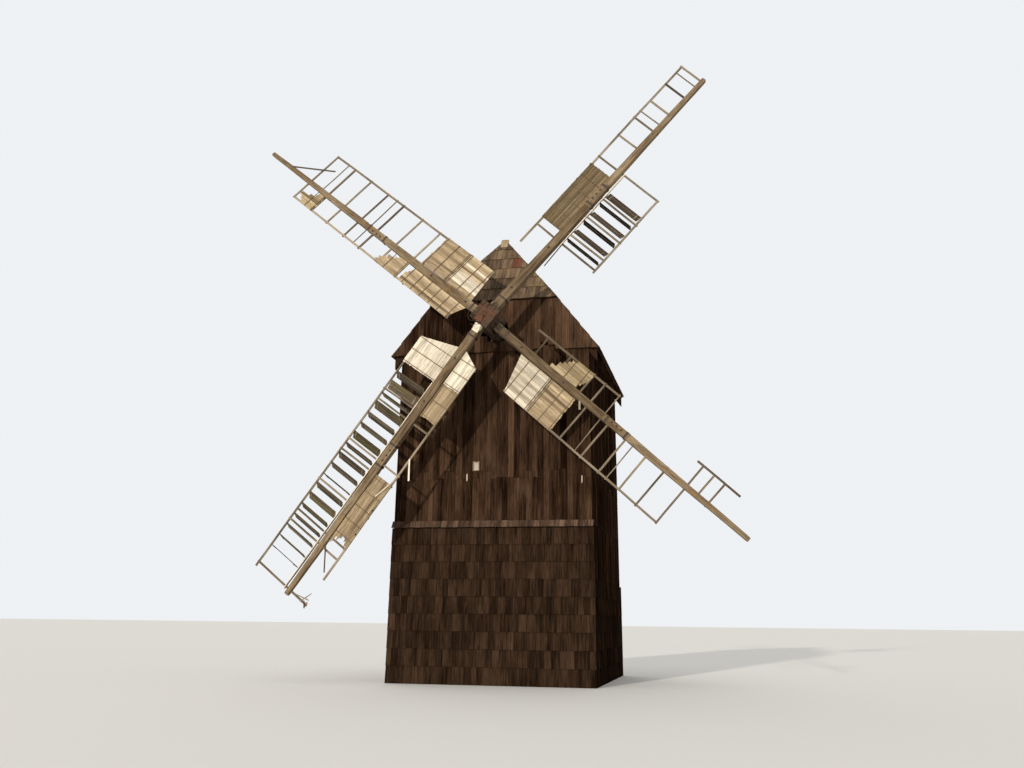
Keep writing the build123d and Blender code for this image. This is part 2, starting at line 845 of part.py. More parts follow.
# Shutters turn on pins between the stile and the rail, and have stuck at different angles
for name in ("ll", "ur"):
    sail = sails[name]
    inner_edge = stile_offset + stile_width / 2
    outer_edge = sail["wide"] - rail_width / 2
    middle = -(inner_edge + outer_edge) / 2
    blade = outer_edge - inner_edge - 2 * shutter_end_gap
    with BuildPart() as shutters:
        for number, opened in enumerate(shutter_angles[name]):
            distance = first_shutter[name] + number * shutter_pitch[name]
            place = arm_plane(sail, weather_angle).location * Location((distance, middle, 0), (0, opened, 0))
            with Locations(place):
                Box(shutter_chord, blade, shutter_thickness)
                Cylinder(
                    shutter_pin_radius, outer_edge - inner_edge - 2 * shutter_pin_gap, rotation=(90, 0, 0)
                )
    save(shutters, f"shutters_{name}")

rod_start = {"ll": 2430, "ur": 2960}
with BuildPart() as shutter_rods:
    for name, start in rod_start.items():
        sail = sails[name]
        end = sail["stile"][1]
        place = Location(((start + end) / 2, -stile_offset, (bar_thickness + rod_width) / 2))
        with Locations(arm_plane(sail, weather_angle).location * place):
            Box(end - start, rod_width, rod_width)
save(shutter_rods, "shutter_rods")

# Windshaft, with the head that holds both stocks
with BuildPart() as windshaft:
    neck_at = shaft_distance(neck_y)
    tail_at = shaft_distance(tail_y)
    with BuildSketch(Plane(origin=hub, x_dir=shaft_plane.z_dir, z_dir=shaft_plane.x_dir)):
        with BuildLine():
            Polyline(
                (0, 0),
                (0, shaft_radius),
                (neck_at + journal_length / 2, shaft_radius),
                (neck_at + journal_length / 2, journal_radius),
                (neck_at - journal_length / 2, journal_radius),
                (neck_at - journal_length / 2, shaft_radius),
                (tail_at + gudgeon_length / 2, shaft_radius * tail_taper),
                (tail_at + gudgeon_length / 2, gudgeon_radius),
                (tail_at - gudgeon_length / 2, gudgeon_radius),
                (tail_at - gudgeon_length / 2, 0),
                close=True,
            )
        make_face()
    revolve(axis=Axis(hub, shaft_plane.z_dir))
    head_turn = (stock_mean_angle("front") + stock_mean_angle("rear") - 90) / 2
    head_place = shaft_plane.location * Location((0, 0, (head_front - head_back) / 2), (0, 0, head_turn))
    with Locations(head_place):
        Box(head_width, head_width, head_front + head_back)
    for stock in ("front", "rear"):
        with Locations(stock_middle_plane(stock).location):
            Box(
                4 * head_width,
                stock_width + 2 * mortise_clearance,
                stock_width + 2 * mortise_clearance,
                mode=Mode.SUBTRACT,
            )
save(windshaft, "windshaft")

# Iron bands round the stocks at the hub and over the splices
with BuildPart() as stock_bands:
    for sail in sails.values():
        splice_start = stock_end - splice_length
        for distance in (hub_band_distance, splice_start + splice_band_inset, stock_end - splice_band_inset):
            section = arm_width(sail, distance - band_width / 2) + 2 * band_clearance
            outer = section + 2 * band_thickness
            with Locations(arm_plane(sail).location * Location((distance, 0, 0))):
                Box(band_width, outer, outer)
                Box(band_width, section, section, mode=Mode.SUBTRACT)
save(stock_bands, "stock_bands")

with BuildPart() as head_bands:
    for distance in (head_front - head_band_inset, head_band_inset - head_back):
        with Locations(shaft_plane.location * Location((0, 0, distance), (0, 0, head_turn))):
            size = head_width + 2 * band_clearance
            Box(size + 2 * band_thickness, size + 2 * band_thickness, band_width)
            Box(size, size, band_width, mode=Mode.SUBTRACT)
save(head_bands, "head_bands")
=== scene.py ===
"""Dresses a timber windmill's frame in boards, shingles, worn sails and old iron. All sizes are in metres."""

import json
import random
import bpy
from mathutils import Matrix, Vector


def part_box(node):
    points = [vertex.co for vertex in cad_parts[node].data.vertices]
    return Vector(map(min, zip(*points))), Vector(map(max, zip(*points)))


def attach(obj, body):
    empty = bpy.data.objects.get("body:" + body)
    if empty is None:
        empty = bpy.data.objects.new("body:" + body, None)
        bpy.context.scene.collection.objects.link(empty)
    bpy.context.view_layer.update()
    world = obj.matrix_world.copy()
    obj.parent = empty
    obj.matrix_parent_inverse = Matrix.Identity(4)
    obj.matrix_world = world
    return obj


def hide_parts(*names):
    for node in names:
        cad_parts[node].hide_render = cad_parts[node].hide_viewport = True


bl_info = {
    "name": "Timber Windmill",
    "version": (1, 0, 0),
    "blender": (4, 5, 0),
    "location": "View3D > Sidebar > Windmill",
    "description": "Dresses a windmill's frame in boards, shingles, worn sails and old iron",
    "category": "Object",
}

from math import atan2, cos, hypot, pi, radians, sin, sqrt

import bmesh
import bpy
from bpy.props import FloatProperty, FloatVectorProperty, IntProperty, PointerProperty
from mathutils import Matrix, Vector

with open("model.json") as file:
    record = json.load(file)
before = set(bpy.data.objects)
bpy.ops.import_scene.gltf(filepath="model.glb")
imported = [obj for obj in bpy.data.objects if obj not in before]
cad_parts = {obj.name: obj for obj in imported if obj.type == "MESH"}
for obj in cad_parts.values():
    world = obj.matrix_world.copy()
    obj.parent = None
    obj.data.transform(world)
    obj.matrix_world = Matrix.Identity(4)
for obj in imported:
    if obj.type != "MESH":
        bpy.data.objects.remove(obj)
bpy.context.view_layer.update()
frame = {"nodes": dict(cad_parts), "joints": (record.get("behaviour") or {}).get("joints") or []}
nodes = frame["nodes"]

# The windshaft's directions: out of the front, and to the right and up across it
spin = frame["joints"][0]
hub = Vector(spin["pos_m"])
shaft = Vector(spin["axis"]).normalized()
shaft_right = Vector((1, 0, 0))
shaft_up = shaft.cross(shaft_right)

# The body, read from its frame. Half its width shrinks by the batter with each metre of height
wall_low, wall_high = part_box("front_wall")
front_skirt_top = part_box("skirt_front")[1].z
side_skirt_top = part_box("side_skirts")[1].z
ledge_low, ledge_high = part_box("drip_ledge")
gable_low, gable_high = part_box("front_gable")
roof_low, roof_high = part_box("right_roof")
hip_low, hip_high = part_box("front_hip")
door_low, door_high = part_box("rear_door")
verge_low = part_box("barge_boards")[0]
batter = 0.012
wall_thickness = wall_high.y - wall_low.y
wall_face = -wall_low.y
ledge_half_width = wall_high.x - batter * ledge_high.z
# Courses at the foot: how many fit the front, their height, and how far a board's head and lip stand out
front_courses = 9
course_height = front_skirt_top / front_courses
course_root = 0.018
course_lip = 0.046

# The roof's slopes and half-hips
eave_height = gable_low.z
eave_half_span = roof_high.x
ridge_height = hip_high.z
roof_thickness = 0.07
slope_angle = atan2(ridge_height - eave_height, eave_half_span)
hip_overhang = 0.12
hip_eave_height = 11.1
ridge_setback = 1.4
hip_eave = Vector((0, -wall_face - hip_overhang, hip_eave_height))
apex = Vector((0, ridge_setback - wall_face, ridge_height))
hip_angle = atan2(apex.z - hip_eave.z, apex.y - hip_eave.y)

# Openings: across the wall they are in, and in height
window_x, window_z = (0.38, 0.57), (5.965, 6.235)
door_x, door_z = (-0.47, 0.47), (0.25, 2.2)
shaft_hole = 0.305

# Sails: which stock carries each (1 in front), its arm's angle seen from the front in degrees, its reach,
# and how far its wide and narrow sides stand out. The arms lean back by the cone, and the bars turn by the
# weather angle, both in degrees
arm_cone = 2.9
weather = 9.0
stock_offset = 0.17
arm_start = 0.4
splice_start = 4.4
stock_end = 5.3
hub_width = 0.25
splice_width = 0.205
tip_width = 0.13
sails = {
    "ur": dict(stock=1, angle=49.6, reach=9.75, wide=1.44, narrow=0.79),
    "ul": dict(stock=-1, angle=139.7, reach=10.0, wide=1.25, narrow=0.7),
    "ll": dict(stock=1, angle=234.2, reach=9.6, wide=1.41, narrow=0.7),
    "lr": dict(stock=-1, angle=318.2, reach=9.45, wide=1.24, narrow=0.72),
}
# Bars, rails, and the stile beside the shutters. A bar that stops short stands out of its arm by the stub
stub = 0.015
bar_width, bar_thickness = 0.056, 0.038
thin_bar_width, thin_bar_thickness = 0.034, 0.024
rail_width, rail_thickness = 0.07, 0.034
stile_offset, stile_width = 0.175, 0.044
# Shutters: their width, where the pin of the innermost stands, and how far apart the pins are
shutter_chord = 0.29
first_shutter = {"ll": 2.81, "ur": 3.26}
shutter_pitch = {"ll": 0.355, "ur": 0.36}
# How far each shutter stands open in degrees, from the hub outwards
shutter_angles = {
    "ll": [50, 12, 70, 35, 57, 60, 41, 63, 50, 58, 76, 53, 43, 59, 61, 63, 69, 79],
    "ur": [91, 42, 97, 41, 91, 30],
}
# The rods that turned the shutters: where they start, their size, and how far they stand out of the sail
pull_rod_start = {"ll": 2.43, "ur": 2.96}
pull_rod_width, pull_rod_thickness = 0.026, 0.024
pull_rod_lift = 0.032
# The battens across the laths: how far apart they are, their size, and how far their middle and their
# face stand out from the panel's face
batten_pitch = 0.42
batten_width, batten_thickness = 0.022, 0.013
batten_lift, batten_face = 0.003, 0.0095


def half_width(z):
    """Half the body's width over its boards at height z."""
    return ledge_half_width - batter * (z - ledge_high.z)


def between_shutters(name, after):
    """The place of a bar in the gap after a numbered shutter."""
    return first_shutter[name] + (after + 0.5) * shutter_pitch[name]


# Bars as their distance out, and whether each reaches the narrow and the wide rail. Rails as their side,
# start and end
sails["ul"]["bars"] = [(1.08, 1, 1), (1.99, 1, 1), (2.95, 1, 1), (3.33, 1, 1), (4.13, 1, 1), (4.98, 1, 1)]
sails["ul"]["bars"] += [(5.7, 1, 1), (6.51, 1, 1), (7.27, 1, 1), (8.13, 1, 1)]
sails["ul"]["thin_bars"] = [(5.28, 1, 1), (7.58, 0, 1)]
sails["ul"]["rails"] = [(-1, 1.0, 8.165), (1, 1.05, 8.165)]
sails["lr"]["bars"] = [(1.7, 1, 1), (2.56, 1, 1), (3.42, 1, 1), (3.83, 1, 1), (4.61, 0, 1), (5.26, 0, 1)]
sails["lr"]["bars"] += [(5.99, 0, 1), (6.62, 0, 1), (7.33, 1, 1), (7.7, 1, 0), (8.05, 1, 0)]
sails["lr"]["thin_bars"] = [(4.36, 1, 1), (5.53, 0, 1)]
sails["lr"]["rails"] = [(-1, 1.65, 7.365), (1, 1.32, 4.39), (1, 7.12, 8.57)]
sails["ur"]["bars"] = [(3.06, 1, 1), (between_shutters("ur", 0), 1, 1), (between_shutters("ur", 2), 1, 1)]
sails["ur"]["bars"] += [(between_shutters("ur", 4), 1, 1), (5.5, 1, 0), (5.85, 1, 1), (6.75, 1, 0)]
sails["ur"]["bars"] += [(7.48, 1, 0), (8.2, 1, 0), (8.91, 1, 0), (9.65, 1, 0)]
sails["ur"]["thin_bars"] = [(7.76, 1, 0), (9.4, 1, 0)]
sails["ur"]["rails"] = [(-1, 2.96, 5.885), (1, 2.34, 9.69)]
sails["ur"]["stile"] = (2.96, 5.885)
sails["ll"]["bars"] = [(1.5, 1, 1), (2.3, 1, 1)]
sails["ll"]["bars"] += [(between_shutters("ll", after), 1, 1) for after in (1, 2, 6, 7, 10, 13, 14)]
sails["ll"]["bars"] += [(9.45, 1, 1)]
sails["ll"]["thin_bars"] = []
sails["ll"]["rails"] = [(-1, 2.24, 9.6), (1, 1.4, 8.63), (1, 9.38, 9.52)]
sails["ll"]["stile"] = (2.24, 9.52)

# Sides of sails with bleached panels: how far out such a panel may start, and the share of its bleached laths
bleached = {("ll", -1): (2.5, 1.0), ("ll", 1): (2.3, 0.9), ("ul", -1): (2.0, 0.4), ("lr", -1): (2.56, 1.0)}
# How much darker (below 0) or lighter each sail's boards have weathered where they aren't bleached
dulled = {"ur": -1.25, "ll": -0.35, "lr": 0.15, "ul": 0.15}
# Panels with green growth on them, as their sail, side and start, and how strong it is
green = {("ur", 1, 3): 0.45, ("lr", 1, 2): 0.48, ("ul", 1, 7): 0.45}
# Panels whose laths have split and broken off at their outer ends
torn = {("ul", 1, 3), ("ul", 1, 7), ("ll", 1, 5)}
# Panels whose laths end unevenly on the side of the hub
jagged = {("lr", 1, 2), ("ul", 1, 7)}
# Shutters with green growth, as their sail and number, and those painted near black as painted shade of their
# shadowed undersides
green_shutters = {("ll", 1): 0.95, ("ll", 3): 0.7, ("ll", 6): 0.9}
green_shutters |= {("ll", 12): 0.6, ("ll", 13): 0.7, ("ll", 16): 0.8}
shaded_shutters = {("ur", 0), ("ur", 2), ("ur", 4)}
painted_shade_tint = (-2.7, -0.3, -0.1)
# How much darker and less bleached the other shutters are painted than the sail boards, as painted shade of
# their shadowed undersides
shutter_painted_shade, shutter_bleach_in_shade = -0.8, -0.15


def along_shaft(x, y, z):
    """A direction given to the right, up and out of the front across the windshaft."""
    return shaft_right * x + shaft_up * y + shaft * z


def place_of(x_axis, z_axis, origin):
    """A place from its X axis, its Z axis and its origin."""
    turn = Matrix((x_axis, z_axis.cross(x_axis), z_axis)).transposed().to_4x4()
    return Matrix.Translation(origin) @ turn


def arm_place(name, twist=0.0):
    """A sail's own place: X out along the arm, Y to its narrow side, turned about X by twist degrees."""
    sail = sails[name]
    turn, lean, twisted = radians(sail["angle"]), radians(arm_cone), radians(twist)
    along = along_shaft(cos(lean) * cos(turn), cos(lean) * sin(turn), -sin(lean))
    outward = along_shaft(sin(lean) * cos(turn), sin(lean) * sin(turn), cos(lean))
    across = along_shaft(-sin(turn), cos(turn), 0)
    face = outward * cos(twisted) - across * sin(twisted)
    return place_of(along, face, hub + shaft * (sail["stock"] * stock_offset))


def arm_width(name, distance):
    """Width of an arm at a distance from the hub."""
    if distance <= stock_end:
        share = max(0, distance - arm_start) / (stock_end - arm_start)
        return hub_width + (splice_width - hub_width) * share
    share = (distance - stock_end) / (sails[name]["reach"] - stock_end)
    return splice_width + (tip_width - splice_width) * share


def at(x, y, z):
    """A move by x, y and z."""
    return Matrix.Translation((x, y, z))


def turned(angle, axis):
    """A turn about an axis, in radians."""
    return Matrix.Rotation(angle, 4, axis)


# Settings


def colour(label, description, default):
    """A colour setting."""
    return FloatVectorProperty(
        name=label, description=description, subtype="COLOR", size=3, min=0, max=1, default=default
    )


def length(label, description, default):
    """A length setting."""
    return FloatProperty(name=label, description=description, default=default, min=0.001, unit="LENGTH")


class WindmillSizes(bpy.types.PropertyGroup):
    """Sizes of the boards, shingles and laths."""

    wall_board: length("Wall board", "Mean width of a wall board", 0.172)
    course_board: length("Course board", "Mean width of a board in the courses at the foot", 0.19)
    gable_board: length("Gable board", "Mean width of a gable board", 0.2)
    shingle: length("Shingle", "Mean width of a roof shingle", 0.14)
    shingle_course: length("Shingle course", "Height of one course of shingles up the slope", 0.47)
    sail_lath: length("Sail lath", "Mean width of a lath in the boarded sails", 0.088)
    fine_lath: length("Fine lath", "Mean width of a lath in the upper right sail", 0.046)
    gap: length("Gap", "Gap between two boards", 0.005)
    arris: length("Arris", "How far the boards' edges are worn", 0.004)
    seed: IntProperty(name="Seed", description="Start of every random draw", default=11, min=0)


class WindmillColours(bpy.types.PropertyGroup):
    """Colours of the timber, iron, glass and floor."""

    wall_dark: colour("Wall, dark", "Tarred grain of the wall boards", (0.014, 0.0065, 0.0035))
    wall_mid: colour("Wall, middle", "Wall boards", (0.056, 0.03, 0.018))
    wall_light: colour("Wall, light", "Wall boards where the tar has worn off", (0.105, 0.06, 0.036))
    course_dark: colour("Courses, dark", "Grain of the boards at the foot", (0.014, 0.0075, 0.0045))
    course_mid: colour("Courses, middle", "Boards at the foot", (0.043, 0.0245, 0.0148))
    course_light: colour("Courses, light", "Worn boards at the foot", (0.08, 0.046, 0.028))
    ledge_dark: colour("Ledge, dark", "Grain of the ledge", (0.045, 0.025, 0.015))
    ledge_mid: colour("Ledge, middle", "Ledge boards", (0.118, 0.068, 0.043))
    ledge_light: colour("Ledge, light", "Sunlit edges of the ledge", (0.23, 0.145, 0.1))
    roof_dark: colour("Shingles, dark", "Grain of the shingles", (0.05, 0.031, 0.018))
    roof_mid: colour("Shingles, middle", "Roof shingles", (0.165, 0.105, 0.061))
    roof_light: colour("Shingles, light", "Bleached shingles", (0.26, 0.18, 0.112))
    arm_dark: colour("Arms, dark", "Grain of the sail arms", (0.11, 0.068, 0.037))
    arm_mid: colour("Arms, middle", "Sail arms", (0.245, 0.174, 0.101))
    arm_light: colour("Arms, light", "Bleached timber of the arms", (0.42, 0.325, 0.21))
    lath_dark: colour("Laths, dark", "Grain of the sail laths", (0.115, 0.083, 0.054))
    lath_mid: colour("Laths, middle", "Sail bars and laths", (0.255, 0.2, 0.136))
    lath_light: colour("Laths, light", "Bleached bars and laths", (0.4, 0.325, 0.235))
    sheet_dark: colour("Sail boards, dark", "Grain of the sail boards", (0.3, 0.21, 0.12))
    sheet_mid: colour("Sail boards, middle", "Sail boards", (0.47, 0.352, 0.218))
    sheet_light: colour("Sail boards, light", "Bleached sail boards", (0.66, 0.525, 0.345))
    bleached: colour("Bleached", "Boards that have lost all their colour", (0.86, 0.765, 0.61))
    moss: colour("Moss", "Green-brown growth on shaded timber", (0.175, 0.15, 0.058))
    lichen: colour("Lichen", "Orange growth on the arms", (0.42, 0.22, 0.06))
    beam_dark: colour("Frame timber, dark", "Grain of the frame", (0.05, 0.033, 0.02))
    beam_mid: colour("Frame timber, middle", "Frame timber", (0.14, 0.098, 0.062))
    beam_light: colour("Frame timber, light", "Light grain of the frame", (0.24, 0.18, 0.12))
    shaft_dark: colour("Shaft, dark", "Grain of the windshaft", (0.03, 0.018, 0.012))
    shaft_mid: colour("Shaft, middle", "Windshaft", (0.1, 0.064, 0.045))
    shaft_light: colour("Shaft, light", "Worn timber of the windshaft", (0.22, 0.165, 0.12))
    trim_dark: colour("Trim, dark", "Grain of the roof's trim boards", (0.10, 0.065, 0.04))
    trim_mid: colour("Trim, middle", "Roof's trim boards", (0.27, 0.19, 0.125))
    trim_light: colour("Trim, light", "Bleached trim boards", (0.46, 0.36, 0.26))
    weathered_red: colour("Red", "Red stain on a few shingles", (0.17, 0.062, 0.036))
    rust_dark: colour("Iron, dark", "Scale on the iron", (0.04, 0.024, 0.018))
    rust_light: colour("Iron, rust", "Rust on the iron", (0.165, 0.068, 0.032))
    glass: colour("Glass", "Dusty window glass", (0.36, 0.295, 0.24))
    glass_dust: colour("Glass, dust", "Dust on the window glass", (0.44, 0.355, 0.285))
    floor: colour("Floor", "The stage's floor", (0.82, 0.82, 0.80))
    backdrop: colour("Backdrop", "The stage's background", (0.86, 0.88, 0.9))


def sizes():
    """The settings of the boards' sizes."""
    return bpy.context.scene.windmill_sizes


def tone(name):
    """A colour from the settings, with its alpha."""
    return (*getattr(bpy.context.scene.windmill_colours, name), 1.0)


# Shader building


class Field:
    """A shader value that takes part in arithmetic by adding Math nodes."""

    def __init__(self, finish, socket):
        self.finish = finish
        self.socket = socket

    def __add__(self, other):
        return self.finish.maths("ADD", self, other)

    __radd__ = __add__

    def __sub__(self, other):
        return self.finish.maths("SUBTRACT", self, other)

    def __rsub__(self, other):
        return self.finish.maths("SUBTRACT", other, self)

    def __mul__(self, other):
        return self.finish.maths("MULTIPLY", self, other)

    __rmul__ = __mul__

    def __abs__(self):
        return self.finish.maths("ABSOLUTE", self)

    def rise(self, low, high):
        """A smooth step from 0 at low to 1 at high."""
        settings = {"interpolation_type": "SMOOTHSTEP"}
        inputs = {"Value": self, "From Min": low, "From Max": high}
        return Field(self.finish, self.finish.node("ShaderNodeMapRange", settings, inputs).outputs["Result"])


class Finish:
    """The nodes of one material or world, and the means to build them."""

    def __init__(self, owner):
        self.owner = owner
        owner.use_nodes = True
        self.tree = owner.node_tree
        self.tree.nodes.clear()

    def node(self, kind, settings=None, inputs=None):
        """Adds a node: its settings first, and then the values or links of its sockets."""
        node = self.tree.nodes.new(kind)
        for key, value in (settings or {}).items():
            setattr(node, key, value)
        for key, value in (inputs or {}).items():
            if isinstance(value, Field):
                self.tree.links.new(value.socket, node.inputs[key])
            elif isinstance(value, bpy.types.NodeSocket):
                self.tree.links.new(value, node.inputs[key])
            else:
                node.inputs[key].default_value = value
        return node

    def maths(self, operation, first, second=0.0):
        """One step of arithmetic on values."""
        node = self.node("ShaderNodeMath", {"operation": operation}, {0: first, 1: second})
        return Field(self, node.outputs[0])

    def vector(self, operation, first, second):
        """One step of arithmetic on vectors."""
        return self.node("ShaderNodeVectorMath", {"operation": operation}, {0: first, 1: second})

    def mix(self, share, first, second):
        """Mixes two colours."""
        settings = {"data_type": "RGBA", "clamp_factor": True}
        return self.node("ShaderNodeMix", settings, {0: share, 6: first, 7: second}).outputs[2]

    def noise(self, place, stretch, detail=3.0, roughness=0.55):
        """Noise on a place that is stretched by three factors."""
        stretched = self.vector("MULTIPLY", place, stretch).outputs[0]
        inputs = {"Vector": stretched, "Scale": 1.0, "Detail": detail, "Roughness": roughness}
        return Field(self, self.node("ShaderNodeTexNoise", {"noise_dimensions": "3D"}, inputs).outputs["Fac"])

    def attribute(self, name):
        """A vector that the boards carry."""
        return self.node("ShaderNodeAttribute", {"attribute_name": name}).outputs["Vector"]

    def parts(self, place):
        """The three numbers of a vector."""
        node = self.node("ShaderNodeSeparateXYZ", None, {0: place})
        return [Field(self, node.outputs[number]) for number in range(3)]

    def joined(self, x, y, z):
        """A vector from its three numbers."""
        return self.node("ShaderNodeCombineXYZ", None, {0: x, 1: y, 2: z}).outputs[0]

    def place(self):
        """The object's own coordinates."""
        return self.node("ShaderNodeTexCoord").outputs["Object"]

    def close(self, base, roughness, height, depth, plain):
        """Ends the material in one Principled shader. plain holds the sockets with one value all over."""
        bump = self.node("ShaderNodeBump", None, {"Height": height, "Distance": depth, "Strength": 1.0})
        inputs = {"Base Color": base, "Roughness": roughness, "Normal": bump.outputs["Normal"]}
        shader = self.node("ShaderNodeBsdfPrincipled", None, {**inputs, **plain})
        self.node("ShaderNodeOutputMaterial", None, {"Surface": shader.outputs[0]})
        return self.owner


def grain_along(finish, along, folded):
    """Object coordinates turned so that X runs along the grain. A folded axis is mirrored at 0."""
    coordinates = finish.parts(finish.place())
    coordinates = [abs(part) if fold else part for part, fold in zip(coordinates, folded)]
    place = finish.joined(*coordinates)
    along = Vector(along).normalized()
    side = along.orthogonal().normalized()
    axes = (along, side, along.cross(side))
    return finish.joined(*[finish.vector("DOT_PRODUCT", place, axis[:]).outputs[1] for axis in axes])


# How finely each pattern of the timber repeats along, across and through a board, per metre
fibre_pitch = (2.4, 95.0, 95.0)
streak_pitch = (0.7, 16.0, 16.0)
cloud_pitch = (0.9, 2.6, 2.6)
crack_pitch = (0.55, 34.0, 34.0)
knot_pitch = (1.3, 5.0, 5.0)
growth_pitch = (2.1, 2.1, 2.1)
# Timber that doesn't shine, how much the rest does, and how deep the grain is
dull_timber = ("wall", "course", "shaft")
timber_shine = 0.12
grain_depth = 0.006


def timber(name, family, along=None, folded=(0, 0, 0), growth=None, growth_share=0.0):
    """Weathered timber. Its grain follows each board's own attribute, or one direction of the object."""
    finish = Finish(bpy.data.materials.new(name))
    shine = 0.0 if family in dull_timber else timber_shine
    dark, mid, light = (tone(f"{family}_{shade}") for shade in ("dark", "mid", "light"))
    if along is None:
        grain = finish.attribute("grain")
        shade, bleach, stain = finish.parts(finish.attribute("tint"))
    else:
        grain = grain_along(finish, along, folded)
        shade = 0.0
    fibre = finish.noise(grain, fibre_pitch, 4.0, 0.65)
    streak = finish.noise(grain, streak_pitch, 3.0, 0.6)
    cloud = finish.noise(grain, cloud_pitch, 3.0)
    crack = 1.0 - abs(finish.noise(grain, crack_pitch, 2.0) - 0.5).rise(0.0, 0.022)
    cells = {"Vector": finish.vector("MULTIPLY", grain, knot_pitch).outputs[0], "Scale": 1.0}
    knot = finish.node("ShaderNodeTexVoronoi", {"feature": "F1"}, cells)
    knot = 1.0 - Field(finish, knot.outputs["Distance"]).rise(0.05, 0.13)
    base = finish.mix((streak * 0.65 + cloud * 0.35 + shade * 0.12).rise(0.30, 0.62), dark, mid)
    base = finish.mix((fibre * 0.55 + cloud * 0.45 + shade * 0.10).rise(0.44, 0.72), base, light)
    if along is None:
        base = finish.mix((bleach + (streak - 0.5) * 0.5).rise(0.15, 0.85), base, tone("bleached"))
        base = finish.mix((stain + (cloud - 0.5) * 0.9).rise(0.25, 0.95), base, tone("moss"))
        red = (0.0 - stain + (cloud - 0.5) * 1.2).rise(0.5, 1.0)
        base = finish.mix(red, base, tone("weathered_red"))
    if growth:
        spots = finish.noise(finish.place(), growth_pitch, 5.0, 0.7)
        base = finish.mix(spots.rise(0.55, 0.68) * growth_share, base, tone(growth))
    hollow = (crack * 0.75 + knot * 0.45) * (0.55 + 0.45 * fibre)
    base = finish.mix(hollow, base, tuple(0.3 * part for part in dark[:3]) + (1.0,))
    brightness = 1.0 + shade * 0.28 + (fibre - 0.5) * 0.5
    base = finish.node("ShaderNodeHueSaturation", None, {"Value": brightness, "Color": base}).outputs[0]
    height = fibre * 0.35 + streak * 0.5 - crack * 0.9 - knot * 0.3
    roughness = 0.74 + (fibre - 0.5) * 0.3
    return finish.close(base, roughness, height, grain_depth, {"Specular IOR Level": shine})


def iron(name, bare):
    """Old iron. bare is how much of it still shows its dark scale."""
    scale_pitch = (14.0, 14.0, 14.0)
    pit_pitch = (70.0, 70.0, 70.0)
    pit_depth = 0.004
    finish = Finish(bpy.data.materials.new(name))
    scale = finish.noise(finish.place(), scale_pitch, 6.0, 0.7)
    pits = finish.noise(finish.place(), pit_pitch)
    threshold = 0.25 + bare * 0.3
    rust = (scale * 0.8 + pits * 0.2).rise(threshold, threshold + 0.2)
    base = finish.mix(rust, tone("rust_dark"), tone("rust_light"))
    return finish.close(base, 0.6 + rust * 0.3, pits * 0.6 + scale, pit_depth, {"Metallic": 0.35})


def dusty_glass(name):
    """Window glass under patches of dust."""
    dust_pitch = (9.0, 9.0, 14.0)
    dust_depth = 0.001
    finish = Finish(bpy.data.materials.new(name))
    dust = finish.noise(finish.place(), dust_pitch, 4.0).rise(0.35, 0.7)
    base = finish.mix(dust, tone("glass"), tone("glass_dust"))
    return finish.close(base, 0.12 + dust * 0.45, dust, dust_depth, {"Specular IOR Level": 0.25})


up_roof = (-cos(slope_angle), 0, sin(slope_angle))
up_hip = (0, -cos(hip_angle), sin(hip_angle))
finish_makers = {
    "wall_timber": lambda name: timber(name, "wall"),
    "course_timber": lambda name: timber(name, "course"),
    "ledge_timber": lambda name: timber(name, "ledge"),
    "shingle_timber": lambda name: timber(name, "roof", growth="moss", growth_share=0.3),
    "arm_timber": lambda name: timber(name, "arm", growth="lichen", growth_share=0.4),
    "lath_timber": lambda name: timber(name, "lath", growth="moss", growth_share=0.25),
    "sail_board_timber": lambda name: timber(name, "sheet", growth="moss", growth_share=0.2),
    "upright_frame_timber": lambda name: timber(name, "beam", (0, 0, 1)),
    "cross_frame_timber": lambda name: timber(name, "beam", (1, 0, 0)),
    "rafter_timber": lambda name: timber(name, "wall", up_roof, (1, 0, 0)),
    "roof_deck_timber": lambda name: timber(name, "course", (0, 1, 0)),
    "windshaft_timber": lambda name: timber(name, "shaft", shaft, growth="weathered_red", growth_share=0.5),
    "ridge_timber": lambda name: timber(name, "trim", (0, 1, 0)),
    "ridge_end_timber": lambda name: timber(name, "sheet", up_hip, (0, 1, 0)),
    "upright_trim_timber": lambda name: timber(name, "trim", (0, 0, 1)),
    "rusted_iron": lambda name: iron(name, 0.3),
    "black_iron": lambda name: iron(name, 0.85),
    "dusty_glass": dusty_glass,
}


def finish_of(name):
    """Each material is made once, when it is first asked for."""
    return bpy.data.materials.get(name) or finish_makers[name](name)


def finish_nodes(material, *names):
    """Gives pieces of the frame that stay in sight a material."""
    for name in names:
        for slot in nodes[name].material_slots:
            slot.material = finish_of(material)


# Board work

nail_radius, nail_crown_radius, nail_height = 0.0055, 0.0035, 0.003
bolt_plate = 0.006
# Places in the timber's pattern are drawn from a block of this size, so no two boards look alike
pattern_block = 40
# Edges that turn by more than this are worn, in radians
sharp_angle = 0.7


